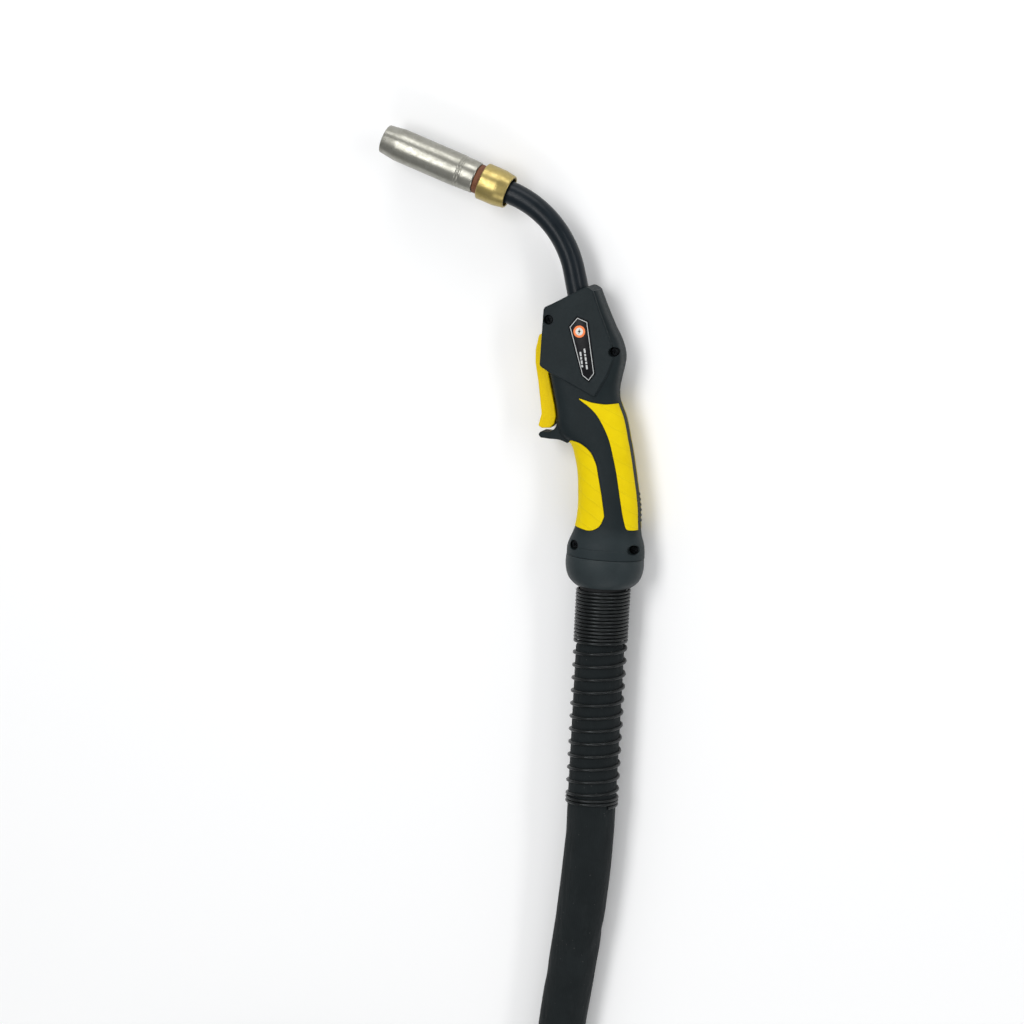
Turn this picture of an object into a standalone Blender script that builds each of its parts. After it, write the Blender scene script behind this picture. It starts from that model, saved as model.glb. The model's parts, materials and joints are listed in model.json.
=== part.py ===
"""MIG welding torch with a gas-cooled swan neck, a two-shell pistol grip and a jacketed cable.

The torch lies on its side. X runs from the trigger side to the back of the grip, Y from the
cable to the neck, Z up through the parting plane of the two grip shells. All outlines are in
millimetres in the torch's own plane, where the cable axis is x = 0 and the cap seam is near
y = 2, and are scaled to metres by MM.
"""

import math

import bmesh
import bpy
from mathutils import Matrix, Vector

MM = 0.001
PI = math.pi

# ---------------------------------------------------------------- driving dimensions, mm
AXIS_HEIGHT = 23.66         # cable axis above the surface the torch lies on
ORIGIN_X, ORIGIN_Y = -80.55, 61.2   # middle of the torch (without its cable) in its own plane

NOZZLE_TIP = Vector((-187.2, 301.8, 0.0))
NOZZLE_ANGLE = math.radians(-18.68)      # direction from the nozzle mouth to the nut
NECK_BEND_RADIUS = 78.0
NECK_BEND = math.radians(56.85)
NECK_ENTRY = 106.7          # from the nozzle mouth to the start of the bend
NECK_TAIL = 38.0            # straight sleeve after the bend

WALL = 2.5                  # shell wall
GAP = 0.3                   # clearance between touching pieces
PANEL_Z = 17.6              # head panel height at its lower end
PANEL_Y = 123.0
PANEL_SLOPE = 0.05          # the head gets thinner towards the neck

TRIGGER_PIVOT = (-51.5, 161.0)
TRIGGER_HALF = 6.6
SLOT_HALF = 7.2

SPRING_WIRE = 2.4
SHEATH_R_IN_SUPPORT = 15.8   # where the sleeve is drawn into the liner
SHEATH_R_IN_SPRING = 16.8
SHEATH_R = 17.3
COIL_R_OUT, COIL_R_IN = 190.0, 155.0
COIL_X, COIL_Y = -210.0, -640.0
RUN_SHIFT = -20.0            # the free run drifts this far in X before the coil
COIL_TUBE_R = 17.5
CONNECTOR_Z = 61.5 - AXIS_HEIGHT

COLORS = {
    "shell": ((0.021, 0.027, 0.030, 1), 0.55, 0.0),
    "yellow": ((0.82, 0.58, 0.004, 1), 0.55, 0.0),
    "trigger": ((0.75, 0.53, 0.002, 1), 0.35, 0.0),
    "nickel": ((0.40, 0.39, 0.34, 1), 0.32, 1.0),
    "brass": ((0.62, 0.50, 0.24, 1), 0.3, 1.0),
    "copper": ((0.72, 0.36, 0.20, 1), 0.35, 1.0),
    "brown": ((0.20, 0.11, 0.06, 1), 0.6, 0.0),
    "gloss_black": ((0.012, 0.015, 0.018, 1), 0.25, 0.0),
    "fabric": ((0.012, 0.015, 0.016, 1), 0.9, 0.0),
    "steel": ((0.35, 0.35, 0.36, 1), 0.35, 1.0),
    "black_steel": ((0.02, 0.02, 0.022, 1), 0.3, 0.6),
    "badge": ((0.01, 0.01, 0.01, 1), 0.4, 0.0),
    "hose": ((0.02, 0.03, 0.05, 1), 0.6, 0.0),
    "lead": ((0.25, 0.02, 0.02, 1), 0.5, 0.0),
    "rubber": ((0.02, 0.02, 0.02, 1), 0.8, 0.0),
}

for old in list(bpy.data.objects):
    bpy.data.objects.remove(old, do_unlink=True)

parts = bpy.data.collections.new("mig_welding_torch")
cutters = bpy.data.collections.new("cutters")
bpy.context.scene.collection.children.link(parts)
bpy.context.scene.collection.children.link(cutters)

root = bpy.data.objects.new("torch_root", None)
parts.objects.link(root)
root.location = (-ORIGIN_X * MM, -ORIGIN_Y * MM, AXIS_HEIGHT * MM)


# ---------------------------------------------------------------- helpers
def material(key):
    found = bpy.data.materials.get(key)
    if found:
        return found
    color, rough, metal = COLORS[key]
    made = bpy.data.materials.new(key)
    made.use_nodes = True
    shader = made.node_tree.nodes["Principled BSDF"]
    shader.inputs["Base Color"].default_value = color
    shader.inputs["Roughness"].default_value = rough
    shader.inputs["Metallic"].default_value = metal
    made.diffuse_color = color
    return made


def add(name, data, color, pivot=None):
    """An object of the torch. Its mesh is in torch coordinates; pivot, in mm, becomes its origin."""
    ob = bpy.data.objects.new(name, data)
    parts.objects.link(ob)
    ob.parent = root
    data.materials.clear()
    data.materials.append(material(color))
    if pivot is not None:
        at = Vector(pivot) * MM
        data.transform(Matrix.Translation(-at))
        ob.location = at
    return ob


def cutter(name, data, parent=True):
    ob = bpy.data.objects.new(name, data)
    cutters.objects.link(ob)
    ob.hide_render = True
    ob.display_type = "WIRE"
    if parent:
        ob.parent = root
    return ob


def mesh_of(name, bm, turn=False):
    """A mesh in metres from a bmesh in millimetres; turn points a hand-made skin's faces outwards."""
    if turn:
        bmesh.ops.recalc_face_normals(bm, faces=bm.faces)
    bm.transform(Matrix.Scale(MM, 4))
    data = bpy.data.meshes.new(name)
    bm.to_mesh(data)
    bm.free()
    return data


def baked(ob, weld=1e-6):
    """The object's mesh with its modifiers and curve bevel applied, welded."""
    bpy.context.view_layer.update()
    graph = bpy.context.evaluated_depsgraph_get()
    data = bpy.data.meshes.new_from_object(ob.evaluated_get(graph))
    bm = bmesh.new()
    bm.from_mesh(data)
    bmesh.ops.remove_doubles(bm, verts=bm.verts, dist=weld)
    bm.to_mesh(data)
    bm.free()
    return data


def taken(ob, weld=1e-6):
    """baked(), and the object removed."""
    data = baked(ob, weld)
    bpy.data.objects.remove(ob, do_unlink=True)
    return data


def combine(ob, other, operation):
    mod = ob.modifiers.new(operation.lower() + "_" + other.name, "BOOLEAN")
    mod.object = other
    mod.operation = operation
    mod.solver = "EXACT"


def aim(direction):
    return Vector((0, 0, 1)).rotation_difference(Vector(direction).normalized())


def turned_mesh(name, outer, inner=None, at=(0, 0, 0), along=(0, 0, 1), steps=32):
    """A Screw of a profile of (radius, height) points that runs down the outer side.

    Without inner the piece is solid; with it, inner runs back up the bore.
    """
    points = list(outer) + list(inner) if inner else [(0, outer[0][1]), *outer, (0, outer[-1][1])]
    data = bpy.data.meshes.new(name)
    edges = [(i, i + 1) for i in range(len(points) - 1)]
    if inner:
        edges.append((len(points) - 1, 0))
    data.from_pydata([(r * MM, 0, h * MM) for r, h in points], edges, [])
    ob = cutter(name + "_profile", data, parent=False)
    screw = ob.modifiers.new("turn", "SCREW")
    screw.axis = "Z"
    screw.angle = 2 * PI
    screw.steps = screw.render_steps = steps
    screw.use_merge_vertices = True
    screw.merge_threshold = 1e-6
    screw.use_smooth_shade = True
    made = taken(ob)
    made.transform(Matrix.Translation(Vector(at) * MM) @ aim(along).to_matrix().to_4x4())
    made.name = name
    return made


def turned(name, color, outer, inner=None, at=(0, 0, 0), along=(0, 0, 1), steps=32, pivot=None):
    ob = add(name, turned_mesh(name, outer, inner, at, along, steps), color, pivot)
    ob.data.set_sharp_from_angle(angle=math.radians(35))
    return ob


def rod_mesh(name, radius, start, end, segments=16):
    start, end = Vector(start), Vector(end)
    bm = bmesh.new()
    bmesh.ops.create_cone(bm, cap_ends=True, segments=segments, radius1=radius, radius2=radius,
                          depth=(end - start).length)
    bm.transform(Matrix.Translation((start + end) / 2) @ aim(end - start).to_matrix().to_4x4())
    return mesh_of(name, bm)


def box_mesh(name, low, high):
    bm = bmesh.new()
    bmesh.ops.create_cube(bm, size=1)
    low, high = Vector(low), Vector(high)
    for v in bm.verts:
        v.co = Vector([low[i] if v.co[i] < 0 else high[i] for i in range(3)])
    return mesh_of(name, bm)


def curve_object(name, points, radii, resolution, caps=True):
    data = bpy.data.curves.new(name, "CURVE")
    data.dimensions = "3D"
    data.bevel_depth = MM
    data.bevel_resolution = resolution
    data.use_fill_caps = caps
    spline = data.splines.new("POLY")
    spline.points.add(len(points) - 1)
    for point, at, radius in zip(spline.points, points, radii):
        point.co = (at[0] * MM, at[1] * MM, at[2] * MM, 1)
        point.radius = radius
    return data


def tube(name, color, points, radius, resolution=2):
    """A solid round rod along points, as a curve with filled caps."""
    radii = radius if isinstance(radius, (list, tuple)) else [radius] * len(points)
    return add(name, curve_object(name, points, radii, resolution), color)


def pipe(name, color, points, outer, wall, resolution=3):
    """A bent tube with an open bore: the curve's open skin thickened inwards."""
    radii = outer if isinstance(outer, (list, tuple)) else [outer] * len(points)
    ob = cutter(name + "_skin", curve_object(name, points, radii, resolution, caps=False), parent=False)
    data = taken(ob)
    made = add(name, data, color)
    solid = made.modifiers.new("wall", "SOLIDIFY")
    solid.thickness = wall * MM
    solid.offset = -1
    return made


def prism_mesh(name, outline, low, high, slope=None):
    """A filled flat outline given its thickness. slope(y) moves the upper face down, mirrored below."""
    data = bpy.data.curves.new(name, "CURVE")
    data.dimensions = "2D"
    data.fill_mode = "BOTH"
    data.extrude = (high - low) / 2 * MM
    spline = data.splines.new("POLY")
    spline.points.add(len(outline) - 1)
    spline.use_cyclic_u = True
    for point, (x, y) in zip(spline.points, outline):
        point.co = (x * MM, y * MM, 0, 1)
    ob = cutter(name + "_outline", data, parent=False)
    made = taken(ob)
    bm = bmesh.new()
    bm.from_mesh(made)
    bm.transform(Matrix.Translation((0, 0, (high + low) / 2)) @ Matrix.Scale(1 / MM, 4))
    bmesh.ops.dissolve_limit(bm, angle_limit=math.radians(0.5), verts=bm.verts, edges=bm.edges)
    if slope:
        for v in bm.verts:
            v.co.z += slope(v.co.y, v.co.z)
    return mesh_of(name, bm, turn=True)


def panel_slope(y, z):
    """How far the head's flat panels lean towards the parting plane at y."""
    return -math.copysign(PANEL_SLOPE * (y - PANEL_Y), z)


def softened(ob, width, segments=2, angle=30):
    bevel = ob.modifiers.new("soft_edges", "BEVEL")
    bevel.width = width * MM
    bevel.segments = segments
    bevel.limit_method = "ANGLE"
    bevel.angle_limit = math.radians(angle)
    bevel.use_clamp_overlap = True
    return ob


def fillet(corners, steps=3):
    """A closed outline from (x, y, radius) corners, each corner turned into a short arc."""
    out = []
    n = len(corners)
    for i, (x, y, r) in enumerate(corners):
        here = Vector((x, y))
        if r <= 0:
            out.append((x, y))
            continue
        before = Vector(corners[i - 1][:2]) - here
        after = Vector(corners[(i + 1) % n][:2]) - here
        half = before.angle(after) / 2
        reach = min(r / math.tan(half), before.length * 0.48, after.length * 0.48)
        a, b = here + before.normalized() * reach, here + after.normalized() * reach
        for k in range(steps + 1):
            t = k / steps
            p = a * (1 - t) ** 2 + here * 2 * t * (1 - t) + b * t ** 2
            out.append((p.x, p.y))
    return out


def grown(outline, by):
    """A closed outline moved outwards by a distance (inwards if negative)."""
    n = len(outline)
    area = sum(outline[i - 1][0] * outline[i][1] - outline[i][0] * outline[i - 1][1] for i in range(n))
    side = 1 if area > 0 else -1
    out = []
    for i in range(n):
        p0, p1, p2 = (Vector(outline[j % n]) for j in (i - 1, i, i + 1))
        d1, d2 = (p1 - p0).normalized(), (p2 - p1).normalized()
        n1, n2 = Vector((d1.y, -d1.x)) * side, Vector((d2.y, -d2.x)) * side
        m = (n1 + n2).normalized()
        scale = by / max(0.5, m.dot(n1))
        out.append((p1.x + m.x * scale, p1.y + m.y * scale))
    return out


def smooth_path(keys, count):
    """count points spaced along a centripetal-like cubic through the key points."""
    pts = [Vector(k) for k in keys]
    pts = [2 * pts[0] - pts[1], *pts, 2 * pts[-1] - pts[-2]]
    dense = []
    for i in range(1, len(pts) - 2):
        p0, p1, p2, p3 = pts[i - 1:i + 3]
        for k in range(24):
            t = k / 24
            dense.append(0.5 * ((2 * p1) + (p2 - p0) * t + (2 * p0 - 5 * p1 + 4 * p2 - p3) * t * t
                                + (3 * p1 - p0 - 3 * p2 + p3) * t ** 3))
    dense.append(pts[-2])
    lengths = [0.0]
    for a, b in zip(dense, dense[1:]):
        lengths.append(lengths[-1] + (b - a).length)
    out, j = [], 0
    for k in range(count):
        want = lengths[-1] * k / (count - 1)
        while j < len(lengths) - 2 and lengths[j + 1] < want:
            j += 1
        span = lengths[j + 1] - lengths[j]
        out.append(dense[j].lerp(dense[j + 1], (want - lengths[j]) / span if span else 0))
    return out


def oval(y, x_front, x_back, half_z, n_front, n_back, count):
    """A ring of points: an oval whose front and back halves have their own squareness."""
    mid, half = (x_front + x_back) / 2, (x_back - x_front) / 2
    ring = []
    for k in range(count):
        t = 2 * PI * (k + 0.5) / count
        c, s = math.cos(t), math.sin(t)
        n = n_back if c > 0 else n_front
        ring.append((mid + half * math.copysign(abs(c) ** (2 / n), c), y,
                     half_z * math.copysign(abs(s) ** (2 / n), s)))
    return ring


def loft_mesh(name, rings):
    """A closed skin over rings of equal point counts, with flat ends."""
    bm = bmesh.new()
    rows = [[bm.verts.new(p) for p in ring] for ring in rings]
    count = len(rows[0])
    for a, b in zip(rows, rows[1:]):
        for k in range(count):
            bm.faces.new((a[k], a[(k + 1) % count], b[(k + 1) % count], b[k]))
    bm.faces.new(rows[0])
    bm.faces.new(rows[-1])
    return mesh_of(name, bm, turn=True)


# ---------------------------------------------------------------- neck path and nozzle axis
DIR_IN = Vector((math.cos(NOZZLE_ANGLE), math.sin(NOZZLE_ANGLE), 0))
END_ANGLE = NOZZLE_ANGLE - NECK_BEND
DIR_OUT = Vector((math.cos(END_ANGLE), math.sin(END_ANGLE), 0))
SIDE_OUT = Vector((-DIR_OUT.y, DIR_OUT.x, 0))      # towards the back of the grip
BEND_START = NOZZLE_TIP + DIR_IN * NECK_ENTRY
BEND_CENTRE = BEND_START + Vector((DIR_IN.y, -DIR_IN.x, 0)) * NECK_BEND_RADIUS
BEND_END = BEND_CENTRE - Vector((DIR_OUT.y, -DIR_OUT.x, 0)) * NECK_BEND_RADIUS


def along_nozzle(s):
    return NOZZLE_TIP + DIR_IN * s


def along_neck(t):
    """A point on the straight run after the bend, t past the bend's end."""
    return BEND_END + DIR_OUT * t


def neck_path(s_start, t_end, arc_steps=10):
    pts = [along_nozzle(s_start)]
    for k in range(arc_steps + 1):
        a = NOZZLE_ANGLE - NECK_BEND * k / arc_steps
        pts.append(BEND_CENTRE + Vector((-math.sin(a), math.cos(a), 0)) * NECK_BEND_RADIUS)
    pts.append(along_neck(t_end))
    return pts


def front(name, color, outer, inner=None, steps=32, pivot=None):
    """A turned piece of the front end: (radius, distance from the nozzle mouth) profile."""
    flip = [(r, -s) for r, s in outer]
    back = [(r, -s) for r, s in inner] if inner else None
    return turned(name, color, flip, back, NOZZLE_TIP, -DIR_IN, steps, pivot)


# ---------------------------------------------------------------- front end
front("nozzle", "nickel",
      [(10.85, 0), (12.5, 12.5), (12.5, 63.0), (12.1, 63.5), (12.4, 64.2), (12.1, 65.8), (12.3, 66.5), (11.75, 77.0)],
      [(10.4, 77.0), (10.4, 58.0), (9.6, 57.0), (9.6, 16.0), (8.0, 8.0), (8.0, 0)], 28)
front("contact_tip", "copper",
      [(2.4, 6.0), (4.8, 11.0), (4.8, 33.2), (3.9, 33.2), (3.9, 41.6)],
      [(0.7, 41.6), (0.7, 6.0)], 16)
front("tip_adaptor", "brass",
      [(6.2, 33.6), (6.2, 61.4)], [(2.7, 61.4), (2.7, 42.2), (4.3, 42.2), (4.3, 33.6)], 20)
diffuser = front("gas_diffuser", "brass",
                 [(9.1, 44.0), (9.1, 56.0)], [(6.6, 56.0), (6.6, 44.0)], 20)
for k in range(3):
    a = PI * (k + 0.5) / 3
    across = Vector((0, 0, 1)) * math.cos(a) + Vector((-DIR_IN.y, DIR_IN.x, 0)) * math.sin(a)
    c = along_nozzle(50.0)
    combine(diffuser, cutter(f"gas_hole_{k}", rod_mesh(f"gas_hole_{k}", 1.1, c - across * 14, c + across * 14, 8)),
            "DIFFERENCE")
front("nozzle_insulator", "brown",
      [(10.0, 62.0), (10.0, 77.35), (11.2, 77.35), (11.2, 81.55), (9.0, 81.55), (9.0, 89.8)],
      [(7.6, 89.8), (7.6, 62.0)], 24)
front("neck_head", "brass",
      [(7.2, 61.8), (7.2, 90.4), (10.8, 90.4), (10.8, 96.6)], [(2.7, 96.6), (2.7, 61.8)], 20)
front("union_nut", "brass",
      [(13.5, 81.9), (14.0, 82.4), (14.0, 96.0), (12.5, 104.2)],
      [(11.3, 104.2), (11.3, 90.1), (9.4, 90.1), (9.4, 81.9)], 32, pivot=along_nozzle(92.0))

# ---------------------------------------------------------------- neck
sleeve_path = neck_path(97.2, NECK_TAIL)
n_pts = len(sleeve_path)
sleeve_r = [9.0 - 0.85 * math.sin(PI * k / (n_pts - 1)) ** 0.6 for k in range(n_pts)]
pipe("neck_sleeve", "gloss_black", sleeve_path, sleeve_r, 2.0, 3)
pipe("neck_conductor", "copper", neck_path(97.0, 51.5), 5.6, 2.6, 2)
tube("wire_liner", "steel", [along_nozzle(44.0), *neck_path(97.0, 58.0)], 2.1, 1)

# clamp that joins the neck to the power cable inside the head
block = box_mesh("clamp_block", (-11, -11, 0), (11, 11, 23.4))
up = DIR_OUT.cross(SIDE_OUT)
block.transform(Matrix.Translation(along_neck(38.6) * MM)
                @ Matrix((SIDE_OUT, up, DIR_OUT)).transposed().to_4x4())
clamp = add("neck_clamp", block, "brass")
softened(clamp, 1.0, 1)
combine(clamp, cutter("clamp_bore", rod_mesh("clamp_bore", 6.0, along_neck(36), along_neck(52), 20)), "DIFFERENCE")
combine(clamp, cutter("liner_bore", rod_mesh("liner_bore", 2.7, along_neck(50), along_neck(59), 12)), "DIFFERENCE")
clamp_screw_at = along_neck(45.0)
combine(clamp, cutter("clamp_screw_bore", rod_mesh("clamp_screw_bore", 2.4, clamp_screw_at - SIDE_OUT * 4,
                                                   clamp_screw_at - SIDE_OUT * 14, 12)), "DIFFERENCE")
add("clamp_screw", rod_mesh("clamp_screw", 2.0, clamp_screw_at - SIDE_OUT * 6.1, clamp_screw_at - SIDE_OUT * 12.0, 12),
    "steel")

# ---------------------------------------------------------------- grip body
# y, x at the front, x at the back, half thickness, squareness at the front and the back
STATIONS = [
    (201.2, -27.0, -15.2, 11.6, 4.0, 4.0), (195.0, -37.0, -12.4, 12.6, 4.0, 4.4),
    (187.0, -42.0, -8.8, 13.3, 4.0, 4.6), (174.0, -49.0, -2.3, 14.1, 4.0, 4.8),
    (165.0, -50.5, 2.7, 14.7, 4.0, 4.8), (157.0, -50.5, 5.6, 15.2, 4.0, 4.8),
    (151.5, -50.5, 6.4, 15.5, 4.0, 4.8), (145.0, -50.0, 5.8, 15.8, 4.0, 4.4),
    (137.0, -48.4, 4.5, 16.0, 4.0, 3.6), (129.5, -46.4, 3.7, 16.3, 4.0, 2.9),
    (122.0, -44.4, 4.3, 16.6, 4.0, 2.5), (107.0, -41.0, 10.3, 16.8, 4.0, 2.4),
    (98.0, -40.0, 12.8, 16.9, 4.0, 2.4), (91.0, -37.6, 14.4, 17.0, 3.1, 2.4),
    (86.0, -30.9, 15.7, 17.0, 2.55, 2.4), (81.5, -28.2, 16.7, 17.0, 2.45, 2.4),
    (77.0, -26.8, 17.7, 17.0, 2.45, 2.4), (70.5, -25.0, 19.0, 17.0, 2.4, 2.4),
    (62.0, -23.5, 20.7, 17.2, 2.4, 2.4), (50.0, -22.5, 23.0, 17.4, 2.4, 2.4),
    (40.0, -22.1, 24.5, 17.5, 2.4, 2.4), (30.0, -22.6, 25.2, 17.7, 2.4, 2.4),
    (23.5, -23.6, 25.8, 18.2, 2.4, 2.4), (18.5, -25.3, 26.7, 20.0, 2.3, 2.3),
    (13.5, -27.4, 28.4, 22.3, 2.2, 2.2), (8.7, -28.9, 29.4, 23.2, 2.15, 2.15),
    (2.0, -29.2, 29.8, 23.4, 2.1, 2.1),
]


def grip_rings(inset=0.0, count=24, low=None, high=None):
    return [oval(y, xf + inset, xb - inset, hz - inset, nf, nb, count)
            for y, xf, xb, hz, nf, nb in STATIONS
            if (low is None or y >= low) and (high is None or y <= high)]


HEAD = [(-54.1, 186.0, 3.5), (-54.4, 142.6, 3.5), (-45.6, 137.6, 3.0), (-38.5, 134.8, 6.0),
        (-10.8, 122.4, 1.5), (-1.9, 140.4, 6.0), (1.8, 152.0, 6.0), (-0.6, 163.6, 6.0),
        (-11.2, 186.6, 3.0), (-17.4, 201.6, 4.0), (-22.6, 204.0, 4.0), (-48.4, 189.0, 3.5)]
head_outline = fillet(HEAD, 2)
HORN = [(-30.0, 103.0, 0), (-39.2, 103.0, 0), (-41.4, 95.4, 7), (-47.0, 92.1, 6), (-53.1, 92.4, 1.2),
        (-54.8, 90.0, 1.5), (-53.0, 87.7, 1.5), (-46.0, 87.7, 10), (-38.0, 87.9, 14), (-31.5, 85.8, 6),
        (-26.0, 81.0, 0)]

body = cutter("grip_outer", loft_mesh("grip_outer", grip_rings()), parent=False)
head = softened(cutter("head_outer", prism_mesh("head_outer", head_outline, -PANEL_Z, PANEL_Z, panel_slope),
                       parent=False), 1.5, 2)
horn_mesh = prism_mesh("horn", fillet(HORN, 3), -7.5, 7.5)
for v in horn_mesh.vertices:                    # it spreads to meet the grip's cheeks
    v.co.z *= 1 + 0.042 * min(9.0, max(0.0, v.co.x / MM + 53.0))
horn = softened(cutter("horn", horn_mesh, parent=False), 2.0, 2, 50)
spigot = cutter("spigot", loft_mesh("spigot", [oval(y, -26.3, 26.3, 20.8, 2.1, 2.1, 24) for y in (6.0, -7.0)]),
                parent=False)
for piece in (head, horn, spigot):
    combine(body, piece, "UNION")

# hollow: the same outlines moved in by the wall
inner_rings = [oval(y, xf + WALL, xb - WALL, hz - WALL, nf, nb, 16)
               for y, xf, xb, hz, nf, nb in STATIONS if 12.0 < y < 180.0]
inner_rings += [oval(7.0, -25.2, 25.6, 19.6, 2.15, 2.15, 16), oval(2.0, -23.8, 23.8, 18.3, 2.1, 2.1, 16),
                oval(-8.0, -23.8, 23.8, 18.3, 2.1, 2.1, 16)]
hollow = cutter("grip_hollow", loft_mesh("grip_hollow", inner_rings), parent=False)
head_hollow = cutter("head_hollow", prism_mesh("head_hollow", grown([c[:2] for c in HEAD], -WALL), -PANEL_Z + WALL,
                                               PANEL_Z - WALL, panel_slope), parent=False)
combine(body, hollow, "DIFFERENCE")
combine(body, head_hollow, "DIFFERENCE")

# columns for the case screws, the trigger pin and the spring seat
SCREWS = {"screw_head_front": (-49.7, 177.3, 10.4), "screw_head_back": (1.3, 157.1, 8.2),
          "screw_collar_front": (-20.3, 10.4, 9.8), "screw_collar_back": (24.3, 10.0, 7.5)}
COLUMN_Z = {"screw_head_front": 13.4, "screw_head_back": 10.6, "screw_collar_front": 13.6, "screw_collar_back": 11.4}
COLUMN_X = {"screw_head_front": (-53.6, 0), "screw_head_back": (-9, 2.9), "screw_collar_front": (-23.4, 0),
            "screw_collar_back": (0, 25.3)}           # the columns stop inside the grip's skin
for name, (x, y, seat) in SCREWS.items():
    z = COLUMN_Z[name]
    low, high = COLUMN_X[name]
    ring = [(min(max(x + 4.5 * math.cos(PI * k / 7), low), high), y + 4.5 * math.sin(PI * k / 7)) for k in range(14)]
    combine(body, cutter(name + "_column", prism_mesh(name + "_column", ring, -z, z), False), "UNION")
px, py = TRIGGER_PIVOT
for sign in (-1, 1):
    name = "pin_boss_upper" if sign > 0 else "pin_boss_lower"
    combine(body, cutter(name, rod_mesh(name, 3.0, (px, py, sign * (SLOT_HALF + 0.2)), (px, py, sign * 14.6), 10), False), "UNION")

# openings: neck, trigger slot, screw bores, pin bore
combine(body, cutter("neck_opening", rod_mesh("neck_opening", 9.4, along_neck(-20), along_neck(34), 20), False), "DIFFERENCE")
SLOT = [(-70.0, 92.9), (-32.2, 93.4), (-32.2, 136.0), (-46.6, 136.0), (-46.6, 169.4), (-70.0, 169.4)]
combine(body, cutter("trigger_slot", prism_mesh("trigger_slot", SLOT, -SLOT_HALF, SLOT_HALF), False), "DIFFERENCE")
combine(body, cutter("pin_bore", rod_mesh("pin_bore", 1.8, (px, py, -12.2), (px, py, 12.2), 8), False), "DIFFERENCE")
body = cutter("grip_slotted", taken(body, 2e-5), False)
for name, (x, y, seat) in SCREWS.items():
    combine(body, cutter(name + "_head_bore", rod_mesh(name + "_head_bore", 3.7, (x, y, seat), (x, y, 26), 14), False), "DIFFERENCE")
    combine(body, cutter(name + "_bore", rod_mesh(name + "_bore", 1.6, (x, y, seat + 1), (x, y, -8.2), 8), False), "DIFFERENCE")

# ---------------------------------------------------------------- soft pads let into the grip
PAD_FRONT = [(-44.0, 79.0, 0), (-33.0, 82.6, 0), (-30.6, 86.4, 2), (-27.6, 88.6, 2), (-20.5, 87.6, 20),
             (-11.3, 82.0, 20), (-6.4, 72.0, 20), (-1.0, 49.0, 0), (1.9, 34.0, 5), (-1.0, 26.0, 12),
             (-8.0, 22.2, 14), (-19.4, 23.6, 0), (-44.0, 26.8, 0)]
PAD_BACK = [(-24.2, 121.4, 0.6), (-12.6, 118.4, 6), (-3.3, 117.5, 6), (8.0, 118.4, 0), (40.0, 122.0, 0),
            (40.0, 24.9, 0), (23.5, 24.6, 0), (18.4, 25.0, 10), (15.6, 35.0, 30), (8.9, 68.0, 200), (2.0, 93.0, 200),
            (-9.0, 111.8, 200)]
PADS = {"front": (fillet(PAD_FRONT, 2), 3.4), "back": (fillet(PAD_BACK, 2), 5.2)}
pad_outer = cutter("pad_outer", loft_mesh("pad_outer", grip_rings(-0.45, 24, 18, 140)))
pad_floor = cutter("pad_floor", loft_mesh("pad_floor", grip_rings(1.1, 24, 8, 146)))
recess_floor = cutter("recess_floor", loft_mesh("recess_floor", grip_rings(1.4, 24, 8, 146)), False)
for side, sign in (("near", 1), ("far", -1)):
    for where, (outline, edge) in PADS.items():
        low, high = (edge, 30.0) if sign > 0 else (-30.0, -edge)
        pad = add(f"grip_pad_{where}_{side}", prism_mesh("pad", outline, low, high), "yellow")
        combine(pad, pad_outer, "INTERSECT")
        combine(pad, pad_floor, "DIFFERENCE")
        low, high = (edge - GAP, 30.0) if sign > 0 else (-30.0, -edge + GAP)
        recess = cutter(f"recess_{where}_{side}", prism_mesh("recess", grown(outline, GAP), low, high), False)
        combine(recess, recess_floor, "DIFFERENCE")
        combine(body, recess, "DIFFERENCE")

# badge, let into the head panel
BADGE = [(-27.8, 181.4), (-19.2, 178.6), (-11.2, 140.2), (-15.5, 133.7), (-21.3, 137.7), (-33.6, 173.5)]
badge = add("badge_plate", prism_mesh("badge_plate", BADGE, PANEL_Z - 0.5, PANEL_Z + 0.3, panel_slope), "badge")
combine(body, cutter("badge_recess", prism_mesh("badge_recess", grown(BADGE, GAP), PANEL_Z - 0.8, PANEL_Z + 4,
                                                panel_slope), False), "DIFFERENCE")

# the two shells
whole = baked(body)
for side, sign in (("near", 1), ("far", -1)):
    low, high = (-40.0, 0.15) if sign > 0 else (-0.15, 40.0)
    shell = add(f"handle_shell_{side}", whole.copy(), "shell")
    combine(shell, cutter(f"beyond_{side}", box_mesh(f"beyond_{side}", (-90, -30, low), (60, 230, high))), "DIFFERENCE")
combine(shell, cutter("spring_seat", box_mesh("spring_seat", (-33.0, 107.0, -15.6), (-30.4, 117.0, 4.5))), "UNION")

for name, (x, y, seat) in SCREWS.items():
    turned(name, "black_steel", [(3.0, seat + 2.3), (3.0, seat + 0.3), (1.25, seat + 0.3), (1.25, -7.6)],
           at=(x, y, 0), steps=12)

# ---------------------------------------------------------------- trigger and switch
TRIGGER = [(-58.6, 164.6, 3), (-60.6, 153.0, 8), (-60.2, 143.5, 8), (-57.4, 130.1, 0), (-54.9, 115.1, 0),
           (-53.5, 105.5, 4), (-55.5, 96.4, 1.2), (-52.6, 94.8, 1), (-45.7, 95.5, 1.5), (-43.1, 98.8, 3),
           (-42.1, 105.0, 6), (-43.9, 113.5, 10), (-46.7, 124.4, 0), (-49.6, 136.0, 4), (-50.3, 147.0, 4),
           (-48.2, 156.0, 3), (-47.8, 165.0, 3), (-52.4, 168.0, 2)]
trigger = add("trigger", prism_mesh("trigger", fillet(TRIGGER, 2), -TRIGGER_HALF, TRIGGER_HALF), "trigger",
              pivot=(px, py, 0))
softened(trigger, 1.4, 2, 50)
combine(trigger, cutter("trigger_pin_bore", rod_mesh("trigger_pin_bore", 1.8, (px, py, -9), (px, py, 9), 16)), "DIFFERENCE")
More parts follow.
